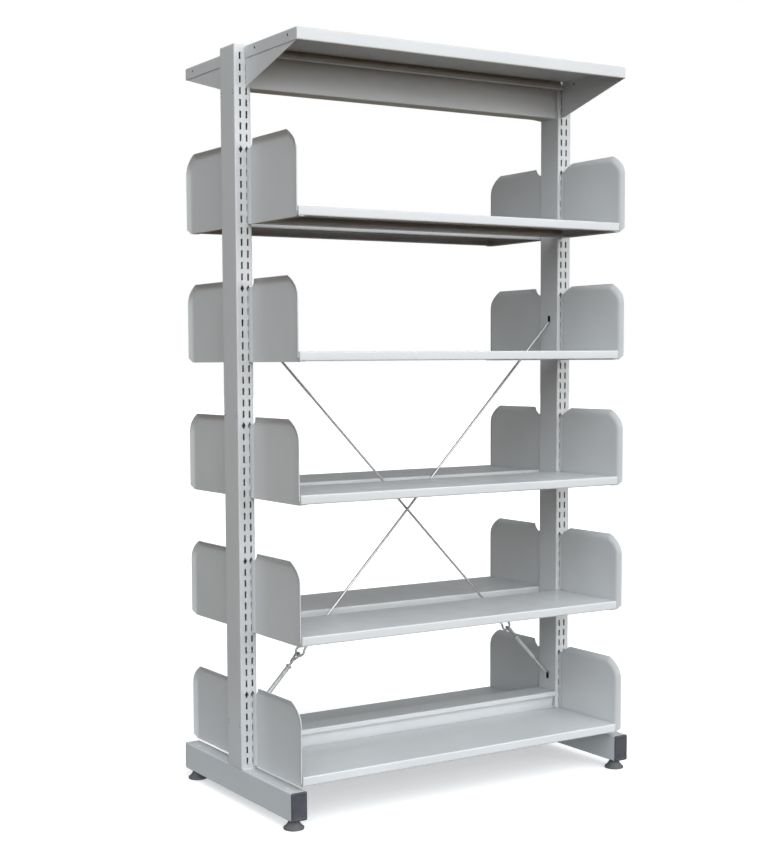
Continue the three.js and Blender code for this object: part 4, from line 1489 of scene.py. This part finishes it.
class SHELVING_OT_rivets(Operator):
    """Make the small hollow rivets in the outer faces of the posts, with painted shade in their holes"""

    bl_idname = "shelving.rivets"
    bl_label = "Rivets"

    def execute(self, context):
        sizes = context.scene.shelving_fixings
        points = []
        for z in (sizes.rivet_low, sizes.rivet_mid, sizes.rivet_high):
            for y in (-sizes.rivet_side, sizes.rivet_side):
                points += [(post_high.x, y, z - sizes.rivet_rise), (post_high.x, y, z + sizes.rivet_rise)]
        rims, holes = rivet_meshes("Rivet_rims", "Rivet_holes", sizes.post_rivet, points)
        for end in ENDS:
            place(f"Rivet_rims_{end}", rims, "Powder coat", "frame", end_turn(end))
            # A dark disc in each rivet paints the shade inside its hole
            place(f"Rivet_holes_{end}", holes, "Painted shade", "frame", end_turn(end))
        return {"FINISHED"}


# Stage


def shown_apart(tree, light, look):
    """A surface that lights the object as one shader and shows the camera another."""
    to_camera = add_node(tree, "ShaderNodeLightPath", {}).outputs["Is Camera Ray"]
    return add_node(tree, "ShaderNodeMixShader", {"Fac": to_camera, 1: light, 2: look}).outputs["Shader"]


def studio_sky(settings):
    """A room whose walls shine softly, each in its own strength; it shows as white behind the object."""
    world = bpy.data.worlds.new("Studio")
    bpy.context.scene.world = world
    tree, surface = fresh_nodes(world, "ShaderNodeOutputWorld")
    towards = add_node(tree, "ShaderNodeTexCoord", {}).outputs["Generated"]
    walls = (
        ((1, 0, 0), settings.sky_right),
        ((-1, 0, 0), settings.sky_left),
        ((0, 1, 1), settings.sky_back),
        ((0, -1, 0), settings.sky_front),
        (settings.key_from, settings.sky_key),
    )
    total = (0.0, 0.0, 0.0)
    for direction, light in walls:
        from_wall = Vector(direction).normalized()
        facing = vector_math(tree, "DOT_PRODUCT", {0: towards, 1: from_wall}, "Value")
        lit_side = number_math(tree, "MAXIMUM", facing, 0.0)
        share = number_math(tree, "MULTIPLY", lit_side, lit_side)
        wall = vector_math(tree, "SCALE", {0: light, "Scale": share})
        total = vector_math(tree, "ADD", {0: total, 1: wall})
    lit = add_node(tree, "ShaderNodeBackground", {"Color": total}).outputs["Background"]
    seen = add_node(tree, "ShaderNodeBackground", {"Color": (1.0, 1.0, 1.0, 1.0)}).outputs["Background"]
    feed(tree, surface, shown_apart(tree, lit, seen))


def pale_floor(settings):
    """A pale floor: it shows soft shadows, and sends its own gentle light up to the object."""
    material = bpy.data.materials.new("Pale floor")
    tree, surface = fresh_nodes(material, "ShaderNodeOutputMaterial")
    darkening = 0.985
    darker = [c * darkening for c in settings.floor]
    tone = blend(tree, noise(tree, scale=3.0, detail=3.0), darker, settings.floor)
    looks = {
        "Base Color": tone,
        "Emission Color": tone,
        "Emission Strength": settings.floor_lift,
        "Roughness": 0.9,
        "Specular IOR Level": 0.0,
    }
    seen = add_node(tree, "ShaderNodeBsdfPrincipled", looks).outputs["BSDF"]
    spot = add_node(tree, "ShaderNodeNewGeometry", {}).outputs["Position"]
    away = vector_math(tree, "LENGTH", {0: spot}, "Value")
    far = ranged(tree, away, start=settings.bounce_near, end=settings.bounce_far)
    light = blend(tree, far, settings.bounce, settings.ground)
    bounce = add_node(tree, "ShaderNodeEmission", {"Color": light}).outputs["Emission"]
    feed(tree, surface, shown_apart(tree, bounce, seen))
    return material


def photo_camera(settings):
    """The camera at the photo's viewpoint."""
    yaw, pitch, roll = settings.camera_yaw, settings.camera_pitch, settings.camera_roll
    level = math.cos(pitch)
    forward = Vector((math.sin(yaw) * level, math.cos(yaw) * level, math.sin(pitch)))
    right = Vector((math.cos(yaw), -math.sin(yaw), 0.0))
    up = right.cross(forward)
    across = right * math.cos(roll) + up * math.sin(roll)
    upward = up * math.cos(roll) - right * math.sin(roll)
    matrix = Matrix((across, upward, -forward)).transposed().to_4x4()
    matrix.translation = settings.camera_place
    data = bpy.data.cameras.new("Camera")
    data.lens = settings.camera_lens
    data.sensor_width = 36.0
    data.shift_x, data.shift_y = settings.camera_shift
    camera = bpy.data.objects.new("Camera", data)
    camera.matrix_world = matrix
    return camera


class SHELVING_OT_stage(Operator):
    """Make the floor, the light and the camera"""

    bl_idname = "shelving.stage"
    bl_label = "Stage"

    def execute(self, context):
        settings = context.scene.shelving_stage
        bm = bmesh.new()
        bmesh.ops.create_circle(bm, cap_ends=True, radius=40.0, segments=96)
        mesh = bpy.data.meshes.new("Floor")
        bm.to_mesh(mesh)
        bm.free()
        mesh.materials.append(pale_floor(settings))
        floor = bpy.data.objects.new("Floor", mesh)
        context.scene.collection.objects.link(floor)
        floor.location.z = cad_box[0].z - settings.floor_drop
        studio_sky(settings)
        camera = photo_camera(settings)
        context.scene.collection.objects.link(camera)
        context.scene.camera = camera
        context.scene.view_settings.view_transform = "Standard"
        return {"FINISHED"}


OPERATORS = (
    SHELVING_OT_posts,
    SHELVING_OT_foot_tubes,
    SHELVING_OT_end_caps,
    SHELVING_OT_levelling_feet,
    SHELVING_OT_beams,
    SHELVING_OT_trays,
    SHELVING_OT_brackets,
    SHELVING_OT_canopies,
    SHELVING_OT_gussets,
    SHELVING_OT_cross_brace,
    SHELVING_OT_rivets,
    SHELVING_OT_stage,
)


class SHELVING_PT_panel(Panel):
    """Lists the pieces of the shelving and their sizes"""

    bl_idname = "SHELVING_PT_panel"
    bl_label = "Library Shelving"
    bl_space_type = "VIEW_3D"
    bl_region_type = "UI"
    bl_category = "Shelving"

    def draw(self, context):
        for operator in OPERATORS:
            self.layout.operator(operator.bl_idname)
        for name, group in SETTINGS.items():
            box = self.layout.box()
            box.label(text=group.__doc__)
            for field in group.__annotations__:
                box.prop(getattr(context.scene, name), field)


CLASSES = (*SETTINGS.values(), *OPERATORS, SHELVING_PT_panel)


def register():
    """Registers the classes and hangs the settings on the scene."""
    for item in CLASSES:
        bpy.utils.register_class(item)
    for name, group in SETTINGS.items():
        setattr(bpy.types.Scene, name, PointerProperty(type=group))


def unregister():
    """Takes the settings and the classes away again."""
    for name in SETTINGS:
        delattr(bpy.types.Scene, name)
    for item in reversed(CLASSES):
        bpy.utils.unregister_class(item)


def main():
    """Builds every piece in order."""
    register()
    for operator in OPERATORS:
        group, name = operator.bl_idname.split(".")
        getattr(getattr(bpy.ops, group), name)()


if __name__ == "__main__":
    main()
